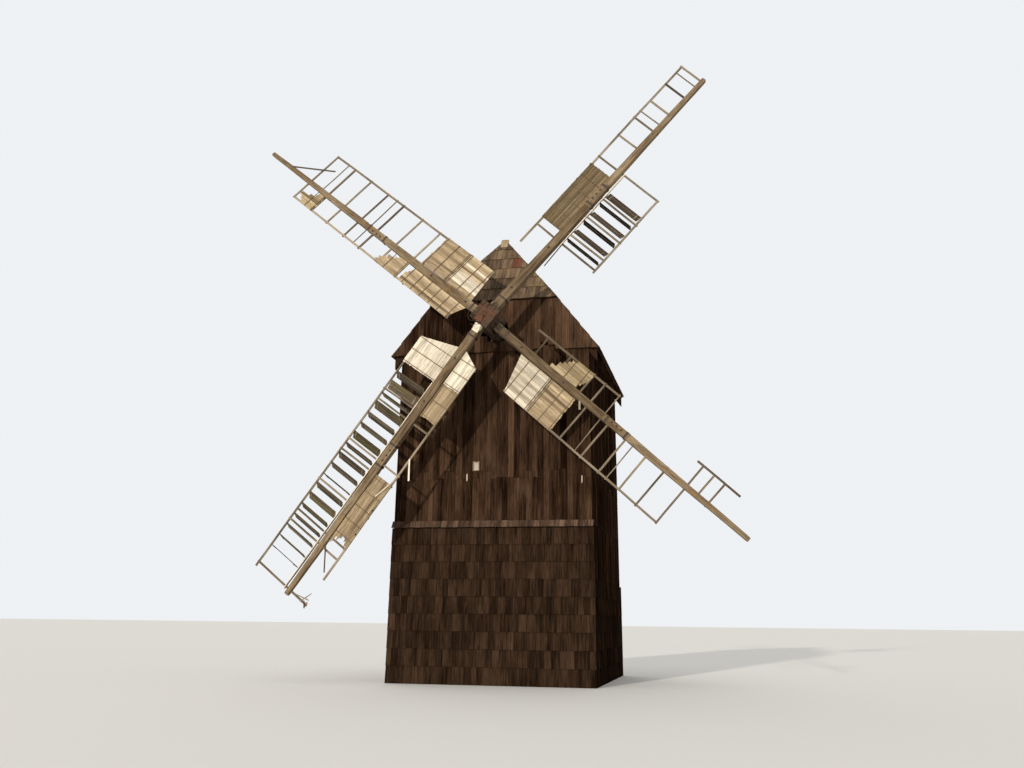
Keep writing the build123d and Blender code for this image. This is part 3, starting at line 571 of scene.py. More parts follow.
class Joinery:
    """Boards, beams and rods joined into one mesh. Each keeps its grain and its weathering as attributes."""

    def __init__(self, seed):
        self.rng = random.Random(sizes().seed * 1000 + seed)
        self.joined = bmesh.new()
        self.passed = bpy.data.meshes.new("passed")

    def near(self, middle, spread):
        """A number near a middle."""
        return self.rng.uniform(middle - spread, middle + spread)

    def columns(self, start, end, mean, spread=0.15):
        """Cuts a width into uneven board widths that add up to it."""
        count = max(1, round((end - start) / mean))
        parts = [self.near(1, spread) for _ in range(count)]
        edges = [start]
        for part in parts:
            edges.append(edges[-1] + part * (end - start) / sum(parts))
        return list(zip(edges[:-1], edges[1:]))

    def keep(self, one, place, tint=(0, 0, 0), trims=(), grain_turn=Matrix()):
        """Turns a shape to its place, trims it there and joins it to the rest."""
        grain = one.verts.layers.float_vector.new("grain")
        tints = one.verts.layers.float_vector.new("tint")
        shift = Vector([self.rng.uniform(0, pattern_block) for _ in range(3)])
        for vert in one.verts:
            vert[grain] = grain_turn @ vert.co + shift
            vert[tints] = tint
        bmesh.ops.transform(one, matrix=place, verts=one.verts)
        for point, normal in trims:
            everything = one.verts[:] + one.edges[:] + one.faces[:]
            cut = bmesh.ops.bisect_plane(
                one, geom=everything, plane_co=point, plane_no=normal, clear_outer=True
            )
            edges = [item for item in cut["geom_cut"] if isinstance(item, bmesh.types.BMEdge)]
            if edges and one.faces:
                bmesh.ops.edgeloop_fill(one, edges=edges)
        if one.faces:
            if trims:
                bmesh.ops.recalc_face_normals(one, faces=one.faces)
            one.to_mesh(self.passed)
            self.joined.from_mesh(self.passed)
        one.free()

    def board(self, place, size, tint=(0, 0, 0), wear=None, rings=1, shape=None, trims=(), ragged=(0, 0)):
        """Adds a board of a length, width and thickness, with its length along its place's X.

        shape moves each point of the straight board, and ragged splinters its two ends by so much."""
        one = bmesh.new()
        bmesh.ops.create_cube(one, size=1, matrix=Matrix.Diagonal((*size, 1)))
        if rings > 1:
            long_edges = [e for e in one.edges if abs(e.verts[0].co.x - e.verts[1].co.x) > size[0] / 2]
            bmesh.ops.subdivide_edges(one, edges=long_edges, cuts=rings - 1, use_grid_fill=True)
        if max(ragged) > 0:
            wide_edges = [e for e in one.edges if abs(e.verts[0].co.y - e.verts[1].co.y) > size[1] / 2]
            bmesh.ops.subdivide_edges(one, edges=wide_edges, cuts=3, use_grid_fill=True)
            splinters = {}
            for vert in one.verts:
                end = vert.co.x > 0
                if abs(vert.co.x) > size[0] / 2 - 1e-5:
                    key = (end, round(vert.co.y, 4))
                    broken_off = splinters.setdefault(key, self.rng.uniform(0, ragged[end]))
                    vert.co.x += -broken_off if end else broken_off
        else:
            sharp = [e for e in one.edges if e.calc_face_angle() > sharp_angle]
            bmesh.ops.bevel(
                one,
                geom=sharp,
                offset=sizes().arris if wear is None else wear,
                offset_type="OFFSET",
                segments=1,
                profile=0.5,
                affect="EDGES",
                material=-1,
                clamp_overlap=True,
            )
        if shape:
            for vert in one.verts:
                vert.co = shape(vert.co)
        self.keep(one, place, tint, trims)

    def rod(self, place, radius, reach, sides, far_radius=None):
        """Adds a round bar along its place's Z, from the place on."""
        one = bmesh.new()
        bmesh.ops.create_cone(
            one,
            cap_ends=True,
            segments=sides,
            radius1=radius,
            radius2=radius if far_radius is None else far_radius,
            depth=reach,
            matrix=at(0, 0, reach / 2),
        )
        self.keep(one, place, grain_turn=turned(pi / 2, "Y"))

    def nail(self, place):
        """Adds a nail's head on its place's XY plane."""
        spun = place @ turned(self.rng.uniform(0, pi), "Z")
        self.rod(spun, nail_radius, nail_height, 6, nail_crown_radius)

    def bolt(self, place, size=0.03):
        """Adds a square plate, a nut and the end of a bolt on its place's XY plane."""
        nut = size * 0.5
        self.board(place @ at(0, 0, bolt_plate / 2), (size * 2.2, size * 2.2, bolt_plate), wear=0.001)
        spun = place @ at(0, 0, bolt_plate) @ turned(self.rng.uniform(0, pi), "Z")
        self.rod(spun, size * 0.62, nut, 6)
        self.rod(place @ at(0, 0, bolt_plate + nut), size * 0.3, size * 0.35, 10)

    def finish(self, name, body, slot, material, *stands_for):
        """Makes the joined shapes one piece that rides on a body."""
        if not self.joined.faces:
            raise RuntimeError(f"{name} came out empty")
        mesh = bpy.data.meshes.new(name)
        self.joined.to_mesh(mesh)
        self.joined.free()
        bpy.data.meshes.remove(self.passed)
        mesh.materials.append(finish_of(material))
        piece = bpy.data.objects.new(name, mesh)
        bpy.context.scene.collection.objects.link(piece)
        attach(piece, body)
        if stands_for:
            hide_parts(*stands_for)


def boxes_in(node, place):
    """Each separate solid of a frame piece, as its middle and its size along a place's axes."""
    back = place.inverted()
    solid = bmesh.new()
    solid.from_mesh(nodes[node].data)
    bmesh.ops.remove_doubles(solid, verts=solid.verts, dist=1e-4)
    waiting = set(solid.verts)
    found = []
    while waiting:
        front = [waiting.pop()]
        corners = []
        while front:
            vert = front.pop()
            corners.append(back @ vert.co)
            for edge in vert.link_edges:
                other = edge.other_vert(vert)
                if other in waiting:
                    waiting.remove(other)
                    front.append(other)
        low = Vector([min(corner[axis] for corner in corners) for axis in range(3)])
        high = Vector([max(corner[axis] for corner in corners) for axis in range(3)])
        found.append(((low + high) / 2, high - low))
    solid.free()
    if not found:
        raise RuntimeError(f"{node} holds no solids")
    return sorted(found, key=lambda box: (round(box[0].x, 3), round(box[0].y, 3)))


# Walls


def upright(outward, origin, tilt=0.0):
    """The place of a standing board: X up its grain, Z out of the wall. tilt leans its head inwards."""
    return place_of(Vector((0, 0, 1)), outward, origin) @ turned(tilt, "Y")


def wall_board(joinery, outward, column, run, thickness, outset, tilt, tint):
    """One board between two places across a wall and two heights, following the body's batter."""
    end_wall = abs(outward.y) > 0.5
    low, high = run
    middle = (low + high) / 2
    reference = half_width(middle)
    across = (column[0] + column[1]) / 2
    face = wall_face if end_wall else reference
    origin = outward * (face + outset - thickness / 2) + Vector((0, 0, middle))

    def follow(point):
        here = half_width(middle + point.x)
        if end_wall:
            return Vector((point.x, (point.y + across) * here / ledge_half_width, point.z))
        return Vector((point.x, point.y + across, point.z + here - reference))

    width = column[1] - column[0] - sizes().gap * joinery.near(0.45, 0.25)
    joinery.board(upright(outward, origin, tilt), (high - low - 0.003, width, thickness), tint, shape=follow)


def columns_beside(joinery, reach, mean, opening, spread):
    """Board widths across a wall, each wholly beside or wholly inside an opening, and whether it's inside."""
    if not opening:
        return [(column, False) for column in joinery.columns(-reach, reach, mean, spread)]
    near_side, far_side = opening
    found = [(column, False) for column in joinery.columns(-reach, near_side, mean, spread)]
    found += [(column, True) for column in joinery.columns(near_side, far_side, mean, spread)]
    return found + [(column, False) for column in joinery.columns(far_side, reach, mean, spread)]


def around(runs, opening):
    """What is left of runs of board above and below an opening."""
    kept = []
    for low, high in runs:
        if high <= opening[0] or low >= opening[1]:
            kept.append((low, high))
            continue
        if low < opening[0]:
            kept.append((low, opening[0]))
        if high > opening[1]:
            kept.append((opening[1], high))
    return kept


def worn_tint(joinery, spread, bleach=0.0, stain=0.0):
    """One board's brightness, bleaching and growth."""
    shade = max(-1.4, min(1.4, joinery.rng.gauss(0, spread)))
    return (shade, bleach * joinery.near(1, 0.3) - 0.2, stain * joinery.near(1, 0.6) - 0.1)


def shaded_right_wall(outward, tint):
    """The tint of a board on the wall that faces outward. The right wall's boards and courses are darkened as
    painted shade, for the shadow that side stands in.
    """
    return (tint[0] - 0.6 * (outward.x > 0.5), tint[1], tint[2])


# Wall boards meet behind the ledge, and at one of two heights above it
ledge_lap = 0.09
joint_heights = (5.74, 5.96)
nail_inset = 0.05
# Places on the front wall where a strip of board has split and bleached
split_strips = ((-0.74, 5.76), (2.62, 5.67))


def nail_board(nails, outward, column, run):
    """Nails a wall board to the rails behind it, at its ends and its middle."""
    end_wall = abs(outward.y) > 0.5
    for height in (run[0] + nail_inset, (run[0] + run[1]) / 2, run[1] - nail_inset):
        here = half_width(height)
        face = wall_face if end_wall else here
        for side in (0.25, 0.75):
            across = column[0] + (column[1] - column[0]) * side
            across *= here / ledge_half_width if end_wall else 1
            place = upright(outward, outward * face + Vector((0, 0, height)))
            nails.nail(place @ at(0, across, 0.002))


def board_wall(name, seed, outward, reach, top, opening_x=None, opening_z=None):
    """Clads a wall with upright boards in three lengths. Only the upper two show their nails."""
    joinery = Joinery(seed)
    nails = Joinery(seed + 50)
    foot_joint = ledge_high.z - ledge_lap
    for column, inside in columns_beside(joinery, reach, sizes().wall_board, opening_x, 0.12):
        joint = joinery.rng.choice(joint_heights) + joinery.near(0, 0.03)
        runs = [(0.0, foot_joint), (foot_joint, joint), (joint, top)]
        if inside:
            runs = around(runs, opening_z)
        for run in runs:
            # Boards on the right wall are darkened as painted shade
            tint = shaded_right_wall(outward, worn_tint(joinery, 0.34, 0.1))
            thickness = joinery.near(0.025, 0.003)
            wall_board(joinery, outward, column, run, thickness, joinery.near(0, 0.003), 0, tint)
            if run[0] >= foot_joint:
                nail_board(nails, outward, column, run)
    if name == "front_wall":
        for x, z in split_strips:
            strip = upright(outward, outward * (wall_face + 0.004) + Vector((x, 0, z)))
            joinery.board(strip, (0.26, 0.032, 0.008), (0.2, 0.55, 0), 0.001, ragged=(0.07, 0.05))
    joinery.finish(name + "_boards", "mill_body", "wall_boards", "wall_timber", name)
    nails.finish(name + "_nails", "mill_body", "iron", "black_iron")


front, rear = Vector((0, -1, 0)), Vector((0, 1, 0))
left, right = Vector((-1, 0, 0)), Vector((1, 0, 0))


def board_walls():
    """Clads the four walls."""
    wall_top = wall_high.z
    side_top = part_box("right_wall")[1].z
    side_reach = wall_face - wall_thickness
    board_wall("front_wall", 1, front, ledge_half_width, wall_top, window_x, window_z)
    board_wall("rear_wall", 2, rear, ledge_half_width, wall_top, door_x, door_z)
    board_wall("left_wall", 3, left, side_reach, side_top)
    board_wall("right_wall", 4, right, side_reach, side_top)


# Courses at the foot


def lay_courses(joinery, outward, reach, courses, opening_x=None, opening_z=None):
    """Lapped courses of short upright boards, each standing off the wall at its lower lip."""
    lap = 0.035
    thickness = 0.022
    tilt = atan2(course_lip - course_root, course_height)
    for course in range(courses):
        low = course * course_height
        high = low + course_height + (lap if course < courses - 1 else 0)
        for column, inside in columns_beside(joinery, reach, sizes().course_board, opening_x, 0.28):
            runs = around([(low, high)], opening_z) if inside else [(low, high)]
            for run in runs:
                if run[1] - run[0] < 0.05:
                    continue
                out = (course_root + course_lip) / 2 + joinery.near(0, 0.003)
                drop = joinery.near(0, 0.006) if run[0] > 0.02 else 0
                run = (max(0, run[0] + drop), run[1])
                # Courses on the right wall are darkened as painted shade
                tint = shaded_right_wall(outward, worn_tint(joinery, 0.24, 0.04, 0.05))
                wall_board(joinery, outward, column, run, thickness, out, tilt, tint)


def course_foot():
    """Lays the courses round the foot, more of them at the front than at the sides and rear."""
    side_courses = round(side_skirt_top / course_height)
    for name, seed, outward, reach, courses, opening in (
        ("skirt_front", 11, front, ledge_half_width + course_lip, front_courses, None),
        ("skirt_rear", 12, rear, ledge_half_width + course_lip, side_courses, door_x),
    ):
        joinery = Joinery(seed)
        lay_courses(joinery, outward, reach, courses, opening, door_z if opening else None)
        joinery.finish(name + "_boards", "mill_body", "skirt_boards", "course_timber", name)
    joinery = Joinery(13)
    lay_courses(joinery, left, wall_face, side_courses)
    lay_courses(joinery, right, wall_face, side_courses)
    joinery.finish("side_skirt_boards", "mill_body", "skirt_boards", "course_timber", "side_skirts")


def lay_ledge():
    """Short sloping boards that throw the rain clear of the courses."""
    joinery = Joinery(14)
    drop = 0.185
    reach = ledge_high.y - ledge_low.y
    tilt = atan2(reach, drop)
    thickness = 0.026
    for start, end in joinery.columns(ledge_low.x, ledge_high.x, 0.15, 0.3):
        run = hypot(reach, drop) + joinery.near(0.0, 0.012)
        middle = Vector((0, ledge_high.y - reach / 2, ledge_high.z - drop / 2))
        place = upright(front, middle, tilt) @ at(0, -(start + end) / 2, -thickness / 2)
        tint = worn_tint(joinery, 0.3, 0.1)
        joinery.board(place, (run, end - start - sizes().gap, thickness * joinery.near(1, 0.12)), tint)
    joinery.finish("ledge_boards", "mill_body", "ledge_boards", "ledge_timber", "drip_ledge")


# Gables and roof

# Where the front gable's boards have lost their feet, and from where on both gables' have lost their tar
broken_feet = (1.3, 1.95)
bare_side = 0.5
# Thickness of a shingle's two ends, and how far past the other slope a slope's shingles may stand
shingle_butt, shingle_head = 0.024, 0.004
ridge_lift = 0.022
# Courses of the front half-hip with red shingles, and where along them these lie
red_courses = (3, 4)
red_patch = (-0.8, -0.4)


def roof_plane(side, lift):
    """A point and the outward normal of a roof slope, moved out by lift."""
    normal = Vector((side * sin(slope_angle), 0, cos(slope_angle)))
    return Vector((0, 0, ridge_height)) + normal * lift, normal


def hip_plane(end, lift):
    """A point and the outward normal of a half-hip, moved out by lift. end is -1 at the front."""
    normal = Vector((0, end * sin(hip_angle), cos(hip_angle)))
    return Vector((0, -end * apex.y, apex.z)) + normal * lift, normal


def board_gable(name, seed, outward, hole_centre=None, also=()):
    """Boards a gable up to the roof's edges. The boards hide the ends of the roof's slopes."""
    joinery = Joinery(seed)
    end = outward.y
    trims = [roof_plane(-1, 0.004), roof_plane(1, 0.004), hip_plane(end, -roof_thickness)]
    face = -verge_low.y
    thickness = face + gable_high.y
    for start, stop in joinery.columns(-eave_half_span, eave_half_span, sizes().gable_board):
        middle = (start + stop) / 2
        foot = gable_low.z + joinery.near(0, 0.008)
        if hole_centre and broken_feet[0] < middle < broken_feet[1]:
            foot += joinery.near(0.13, 0.1)
        runs = [(foot, gable_high.z + 0.05)]
        if hole_centre:
            clear = max(0, start - hole_centre[0], hole_centre[0] - stop)
            if clear < shaft_hole:
                half = sqrt(shaft_hole**2 - clear**2)
                runs = around(runs, (hole_centre[1] - half, hole_centre[1] + half))
        for low, high in runs:
            deep = thickness - joinery.near(0.004, 0.004)
            origin = outward * (face - thickness + deep / 2) + Vector((middle, 0, (low + high) / 2))
            size = (high - low, stop - start - sizes().gap, deep)
            shade, bleach, stain = worn_tint(joinery, 0.4, 0.22)
            if middle > bare_side:
                shade, bleach = shade + 0.75, bleach + 0.08
            joinery.board(upright(outward, origin), size, (shade, bleach, stain), trims=trims)
    joinery.finish(name + "_boards", "mill_body", "wall_boards", "wall_timber", name, *also)


def lay_shingles(joinery, foot, up, normal, start, end, run, trims, red=False):
    """Lapped courses of shingles on a slope, from its foot up along it. red stains a patch of them."""
    exposure = run / round(run / sizes().shingle_course)
    across = normal.cross(up)
    lap = 0.07
    for course in range(round(run / exposure)):
        for left_edge, right_edge in joinery.columns(start, end, sizes().shingle, 0.3):
            overhang = joinery.near(0.03 if course == 0 else 0.0, 0.012)
            reach = exposure + lap + overhang
            middle = course * exposure - overhang + reach / 2
            thickness = shingle_butt * joinery.near(1, 0.2)
            tilt = atan2(shingle_butt - shingle_head, exposure)
            origin = foot + up * middle + across * (left_edge + right_edge) / 2
            origin += normal * (shingle_butt * 0.5)
            place = place_of(up, normal, origin) @ turned(tilt, "Y") @ turned(joinery.near(0, 0.006), "Z")
            stain = 0.35 if joinery.rng.random() < 0.15 else 0.05
            if red and course in red_courses and red_patch[0] < left_edge < red_patch[1]:
                stain = -0.65
            tint = worn_tint(joinery, 0.38, 0.12, stain)
            size = (reach, right_edge - left_edge - 0.004, thickness * 0.6)
            joinery.board(place, size, tint, 0.002, trims=trims)


def shingle_roof():
    """Shingles both slopes and both half-hips, and finishes the ridge."""
    slope_run = hypot(ridge_height - eave_height, eave_half_span)
    verge = -roof_low.y + 0.04
    for name, seed, side in (("left_roof", 21, -1), ("right_roof", 22, 1)):
        joinery = Joinery(seed)
        up = Vector((-side * cos(slope_angle), 0, sin(slope_angle)))
        foot = Vector((side * eave_half_span, 0, eave_height))
        trims = [hip_plane(-1, shingle_butt), hip_plane(1, shingle_butt), roof_plane(-side, ridge_lift)]
        normal = roof_plane(side, 0)[1]
        lay_shingles(joinery, foot, up, normal, -verge, verge, slope_run, trims)
        joinery.finish(name + "_shingles", "mill_body", "roof_shingles", "shingle_timber")
    hip_run = (apex - hip_eave).length
    for name, seed, end in (("front_hip", 23, -1), ("rear_hip", 24, 1)):
        joinery = Joinery(seed)
        up = Vector((0, -end * cos(hip_angle), sin(hip_angle)))
        foot = Vector((0, -end * hip_eave.y, hip_eave.z))
        trims = [roof_plane(-1, shingle_butt), roof_plane(1, shingle_butt)]
        normal = hip_plane(end, 0)[1]
        lay_shingles(joinery, foot, up, normal, hip_low.x - 0.1, hip_high.x + 0.1, hip_run, trims, end < 0)
        joinery.finish(name + "_shingles", "mill_body", "roof_shingles", "shingle_timber")
    finish_nodes("roof_deck_timber", "left_roof", "right_roof", "front_hip", "rear_hip")
    finish_nodes("ridge_timber", "ridge_cap")
    finish_nodes("ridge_end_timber", "ridge_end_boards")


def board_gables():
    """Boards both gables, the front one round the windshaft."""
    shaft_z = hub.z + (hub.y - verge_low.y) * shaft.z / -shaft.y
    board_gable("front_gable", 31, front, (hub.x, shaft_z), ["barge_boards"])
    board_gable("rear_gable", 32, rear)


# Window, door and the frame inside

door_height = door_high.z - door_low.z
hinge_inset = 0.3
hinge_levels = (hinge_inset, door_height - hinge_inset)


def plank_door():
    """Upright planks on two cross boards."""
    joinery = Joinery(41)
    for start, end in joinery.columns(door_low.x + 0.003, door_high.x - 0.003, 0.155, 0.12):
        middle = Vector(((start + end) / 2, door_high.y - 0.013, (door_low.z + door_high.z) / 2))
        size = (door_height - 0.008, end - start - 0.003, 0.026)
        joinery.board(upright(rear, middle), size, worn_tint(joinery, 0.6, 0.15))
    for level in hinge_levels:
        middle = Vector((0, door_low.y + 0.008, door_low.z + level))
        joinery.board(place_of(right, rear, middle), (0.74, 0.13, 0.015), worn_tint(joinery, 0.4))
    joinery.finish("rear_door_planks", "mill_body", "wall_boards", "wall_timber", "rear_door")


def door_irons():
    """Two strap hinges, and a pull on a plate."""
    irons = Joinery(42)
    face = door_high.y
    strap_length = 0.58

    def narrowed(point):
        share = (point.x + strap_length / 2) / strap_length
        return Vector((point.x, point.y * (1 - 0.55 * share), point.z))

    for level in hinge_levels:
        strap = Vector((-0.09, face + 0.003, door_low.z + level))
        size = (strap_length, 0.055, 0.006)
        irons.board(place_of(right, rear, strap), size, wear=0.001, rings=4, shape=narrowed)
        irons.rod(at(-0.385, face + 0.006, door_low.z + level - 0.045), 0.011, 0.09, 12)
        for step in range(4):
            irons.nail(place_of(right, rear, strap + Vector((step * 0.16 - 0.24, 0.003, 0))))
    pull = Vector((0.3, face, door_low.z + door_height * 0.5))
    irons.board(place_of(Vector((0, 0, 1)), rear, pull + rear * 0.002), (0.16, 0.04, 0.004), wear=0.001)
    for step in (-0.05, 0.05):
        irons.rod(place_of(right, rear, pull + Vector((0, 0, step))), 0.006, 0.035, 8)
    irons.rod(Matrix.Translation(pull + Vector((0, 0.035, -0.058))), 0.007, 0.116, 10)
    irons.finish("door_irons", "mill_body", "iron", "rusted_iron")


def fit_openings():
    """Hangs the rear door, and finishes the window and both frames."""
    plank_door()
    door_irons()
    finish_nodes("upright_trim_timber", "window_frame", "door_frame")
    finish_nodes("dusty_glass", "window_pane")


def finish_frame():
    """Finishes the posts, plates, beams and rafters behind the boards."""
    finish_nodes("upright_frame_timber", "wall_posts", "shaft_bearings")
    finish_nodes("cross_frame_timber", "ground_sill", "wall_plates", "weather_beam", "tail_beam")
    finish_nodes("rafter_timber", "rafters")


# Sails


def wander(rng, size, wave):
    """A smooth sideways drift along a piece, as a function of the distance along it."""
    first, second = rng.uniform(0, 2 * pi), rng.uniform(0, 2 * pi)
    return lambda x: size * (0.6 * sin(x * wave + first) + 0.4 * sin(x * wave * 2.3 + second))


def arm_beam(joinery, name, start, end, halves):
    """A length of a sail's arm, whole (0) or only its front (1) or rear (-1) half, tapering as the arm does.

    The board starts one wide and one thick, and is then brought to the arm's width."""
    middle = (start + end) / 2
    sway = wander(joinery.rng, 0.004, 1.7)

    def taper(point):
        width = arm_width(name, middle + point.x)
        depth = point.z * width + (halves * width / 4 if halves else 0)
        return Vector((point.x, point.y * width + sway(point.x), depth))

    thickness = 0.498 if halves else 1.0
    tint = worn_tint(joinery, 0.3, 0.2)
    size = (end - start, 1.0, thickness)
    rings = max(2, round((end - start) / 0.35))
    joinery.board(arm_place(name) @ at(middle, 0, 0), size, tint, 0.05, rings, taper)


def make_arms():
    """Two stocks through the hub, and four whips lapped onto them."""
    for name, seed, side, arms in (
        ("stock_front", 51, 1, ("ur", "ll")),
        ("stock_rear", 52, -1, ("ul", "lr")),
    ):
        joinery = Joinery(seed)
        mean = radians((sails[arms[0]]["angle"] + sails[arms[1]]["angle"] - 180) / 2)
        block = place_of(along_shaft(cos(mean), sin(mean), 0), shaft, hub + shaft * (side * stock_offset))
        joinery.board(block, (0.94, hub_width, hub_width), worn_tint(joinery, 0.2, 0.2), 0.012)
        for arm in arms:
            arm_beam(joinery, arm, arm_start, splice_start, 0)
            arm_beam(joinery, arm, splice_start, stock_end, -1)
        joinery.finish(name + "_beam", "rotor", "sail_timber", "arm_timber", name)
    joinery = Joinery(53)
    for arm, sail in sails.items():
        arm_beam(joinery, arm, splice_start, stock_end, 1)
        arm_beam(joinery, arm, stock_end, sail["reach"], 0)
    joinery.finish("whip_beams", "rotor", "sail_timber", "arm_timber", "sail_whips")


def cross_bars(joinery, name, flat):
    """The bars through a sail's arm."""
    sail = sails[name]
    for key, width, thickness in (
        ("bars", bar_width, bar_thickness),
        ("thin_bars", thin_bar_width, thin_bar_thickness),
    ):
        for distance, narrow, wide in sail[key]:
            end = arm_width(name, distance) / 2 + stub
            top = sail["narrow"] + joinery.near(0.045, 0.015) if narrow else joinery.near(end, 0.008)
            low = -(sail["wide"] + joinery.near(0.045, 0.015)) if wide else -joinery.near(end, 0.008)
            sway = wander(joinery.rng, 0.005, 2.2)
            sag = wander(joinery.rng, 0.004, 1.5)

            def drift(point, sway=sway, sag=sag):
                return Vector((point.x, point.y + sway(point.x), point.z + sag(point.x)))

            place = flat @ at(distance, (top + low) / 2, 0) @ turned(pi / 2 + joinery.near(0, 0.008), "Z")
            tint = worn_tint(joinery, 0.6, 0.3)
            ragged = (0.02, 0.02) if joinery.rng.random() < 0.3 else (0, 0)
            joinery.board(place, (top - low, width, thickness), tint, 0.005, 6, drift, ragged=ragged)


def long_rails(joinery, name, flat):
    """The rails along a sail's two sides, and the stile beside its shutters."""
    sail = sails[name]
    rails = []
    for side, start, end in sail["rails"]:
        rails.append((side * (sail["narrow"] if side > 0 else sail["wide"]), start, end))
    if "stile" in sail:
        rails.append((-stile_offset, *sail["stile"]))
    for offset, start, end in rails:
        width = stile_width if abs(offset) == stile_offset else rail_width * 0.9
        sway = wander(joinery.rng, 0.007, 1.1)
        bend = wander(joinery.rng, 0.004, 0.9)

        def wavy(point, sway=sway, bend=bend):
            return Vector((point.x, point.y + sway(point.x), point.z + bend(point.x)))

        tint = worn_tint(joinery, 0.4, 0.45 if "stile" in sail else 0.3)
        size = (end - start, width, rail_thickness)
        rings = max(2, round((end - start) / 0.4))
        joinery.board(flat @ at((start + end) / 2, offset, 0), size, tint, 0.005, rings, wavy)


def frame_sail(name, seed):
    """The bars of a sail and the rails they hold."""
    joinery = Joinery(seed)
    flat = arm_place(name, weather)
    cross_bars(joinery, name, flat)
    long_rails(joinery, name, flat)
    joinery.finish(f"sail_bars_{name}", "rotor", "sail_laths", "lath_timber", f"sail_frame_{name}")


def frame_sails():
    """Frames the four sails."""
    for number, name in enumerate(sails):
        frame_sail(name, 61 + number)


def panels_in(name, flat):
    """A sail's boards grouped into panels. Each board is given by its edges across and its two ends."""
    panels = []
    for middle, size in boxes_in(f"boards_{name}", flat):
        low, high = middle - size / 2, middle + size / 2
        side = 1 if middle.y > 0 else -1
        board = (low.y, high.y, low.x, high.x)
        for panel in panels:
            first = panel["boards"][0]
            shared = min(high.x, first[3]) - max(low.x, first[2])
            if panel["side"] == side and shared > 0.5 * min(size.x, first[3] - first[2]):
                panel["boards"].append(board)
                break
        else:
            panels.append(dict(side=side, boards=[board], back=low.z, face=high.z))
    for panel in panels:
        panel["boards"].sort()
    return panels


def panel_end(boards, y, end):
    """Where a panel's inner (0) or outer (1) edge lies at y, drawn straight between its boards' ends."""
    places = [((board[0] + board[1]) / 2, board[2 + end]) for board in boards]
    for before, after in zip(places[:-1], places[1:]):
        if y <= after[0] or after is places[-1]:
            share = (y - before[0]) / (after[0] - before[0])
            return before[1] + (after[1] - before[1]) * share
    return places[0][1]


def inner_cut(boards, flat):
    """The plane that cuts a panel's laths off nearest the hub, from its first board's end to its last's."""
    first = Vector((boards[0][2], (boards[0][0] + boards[0][1]) / 2, 0))
    last = Vector((boards[-1][2], (boards[-1][0] + boards[-1][1]) / 2, 0))
    turn = flat.to_3x3()
    normal = (turn @ (last - first)).cross(turn.col[2]).normalized()
    if normal.dot(turn.col[0]) > 0:
        normal = -normal
    return flat @ first, normal


def lay_battens(joinery, nails, flat, panel, low, high, growth):
    """Thin battens across a panel's laths, tinted dark as painted shade for the shadows they throw, with
    nails along them.
    """
    first = max(board[2] for board in panel["boards"]) + 0.04
    last = min(board[3] for board in panel["boards"]) - 0.05
    count = max(2, round((last - first) / batten_pitch) + 1)
    for step in range(count):
        x = first + (last - first) * step / (count - 1)
        place = flat @ at(x, (low + high) / 2, panel["face"] + batten_lift)
        place = place @ turned(pi / 2 + joinery.near(0, 0.012), "Z")
        size = (high - low + 0.01, joinery.near(batten_width, 0.004), batten_thickness)
        # Painted shade: the dark tint stands for the battens' shadows on the laths
        joinery.board(place, size, (joinery.near(-1.1, 0.3), 0, growth), 0.002)
        for spot in joinery.columns(low, high, 0.1):
            nails.nail(flat @ at(x, (spot[0] + spot[1]) / 2, panel["face"] + batten_face))


def lath_sail(name, seed):
    """Laths along a sail in place of its frame's boards, held by thin battens across them."""
    joinery = Joinery(seed)
    nails = Joinery(seed + 50)
    flat = arm_place(name, weather)
    mean = sizes().fine_lath if name == "ur" else sizes().sail_lath
    for panel in panels_in(name, flat):
        boards, side = panel["boards"], panel["side"]
        key = (name, side, int(boards[0][2]))
        reach, share = bleached.get((name, side), (0, 0))
        growth = green.get(key, 0.05)
        split = 0.15 if key in torn else 0.02
        trims = [] if key in jagged else [inner_cut(boards, flat)]
        low, high = boards[0][0], boards[-1][1]
        beside_arm = arm_width(name, boards[0][2]) / 2 + 0.014
        if side > 0:
            low = beside_arm
        else:
            high = -beside_arm
        thickness = panel["face"] - panel["back"]
        for start, end in joinery.columns(low, high, mean, 0.2):
            y = (start + end) / 2
            begin = panel_end(boards, y, 0) - (joinery.near(0.05, 0.004) if trims else joinery.near(0, 0.05))
            stop = max(panel_end(boards, y, 1), begin + 0.3) + joinery.near(0, 0.008)
            bow = wander(joinery.rng, 0.0012, 2.0)
            warp = wander(joinery.rng, 0.002, 3.0)

            def warped(point, bow=bow, warp=warp):
                return Vector((point.x, point.y + bow(point.x), point.z - abs(warp(point.x))))

            pale = boards[0][2] < reach - 0.05 and joinery.rng.random() < share
            depth = panel["face"] - thickness / 2 - joinery.near(0.003, 0.002)
            place = flat @ at((begin + stop) / 2, y, depth)
            tint = worn_tint(joinery, 0.45, (0.95 if name == "lr" else 1.15) if pale else 0.28, growth)
            if not pale:
                tint = (tint[0] + dulled.get(name, 0), tint[1] * (name != "ur"), tint[2])
            size = (stop - begin, end - start - sizes().gap * joinery.near(0.45, 0.3), thickness * 0.7)
            joinery.board(place, size, tint, rings=5, shape=warped, trims=trims, ragged=(0.008, split))
        lay_battens(joinery, nails, flat, panel, low, high, growth)
    joinery.finish(f"sail_laths_{name}", "rotor", "sail_boards", "sail_board_timber", f"boards_{name}")
    nails.finish(f"lath_nails_{name}", "rotor", "iron", "black_iron")


def lath_sails():
    """Lays the laths of the four sails."""
    for number, name in enumerate(sails):
        lath_sail(name, 71 + number)


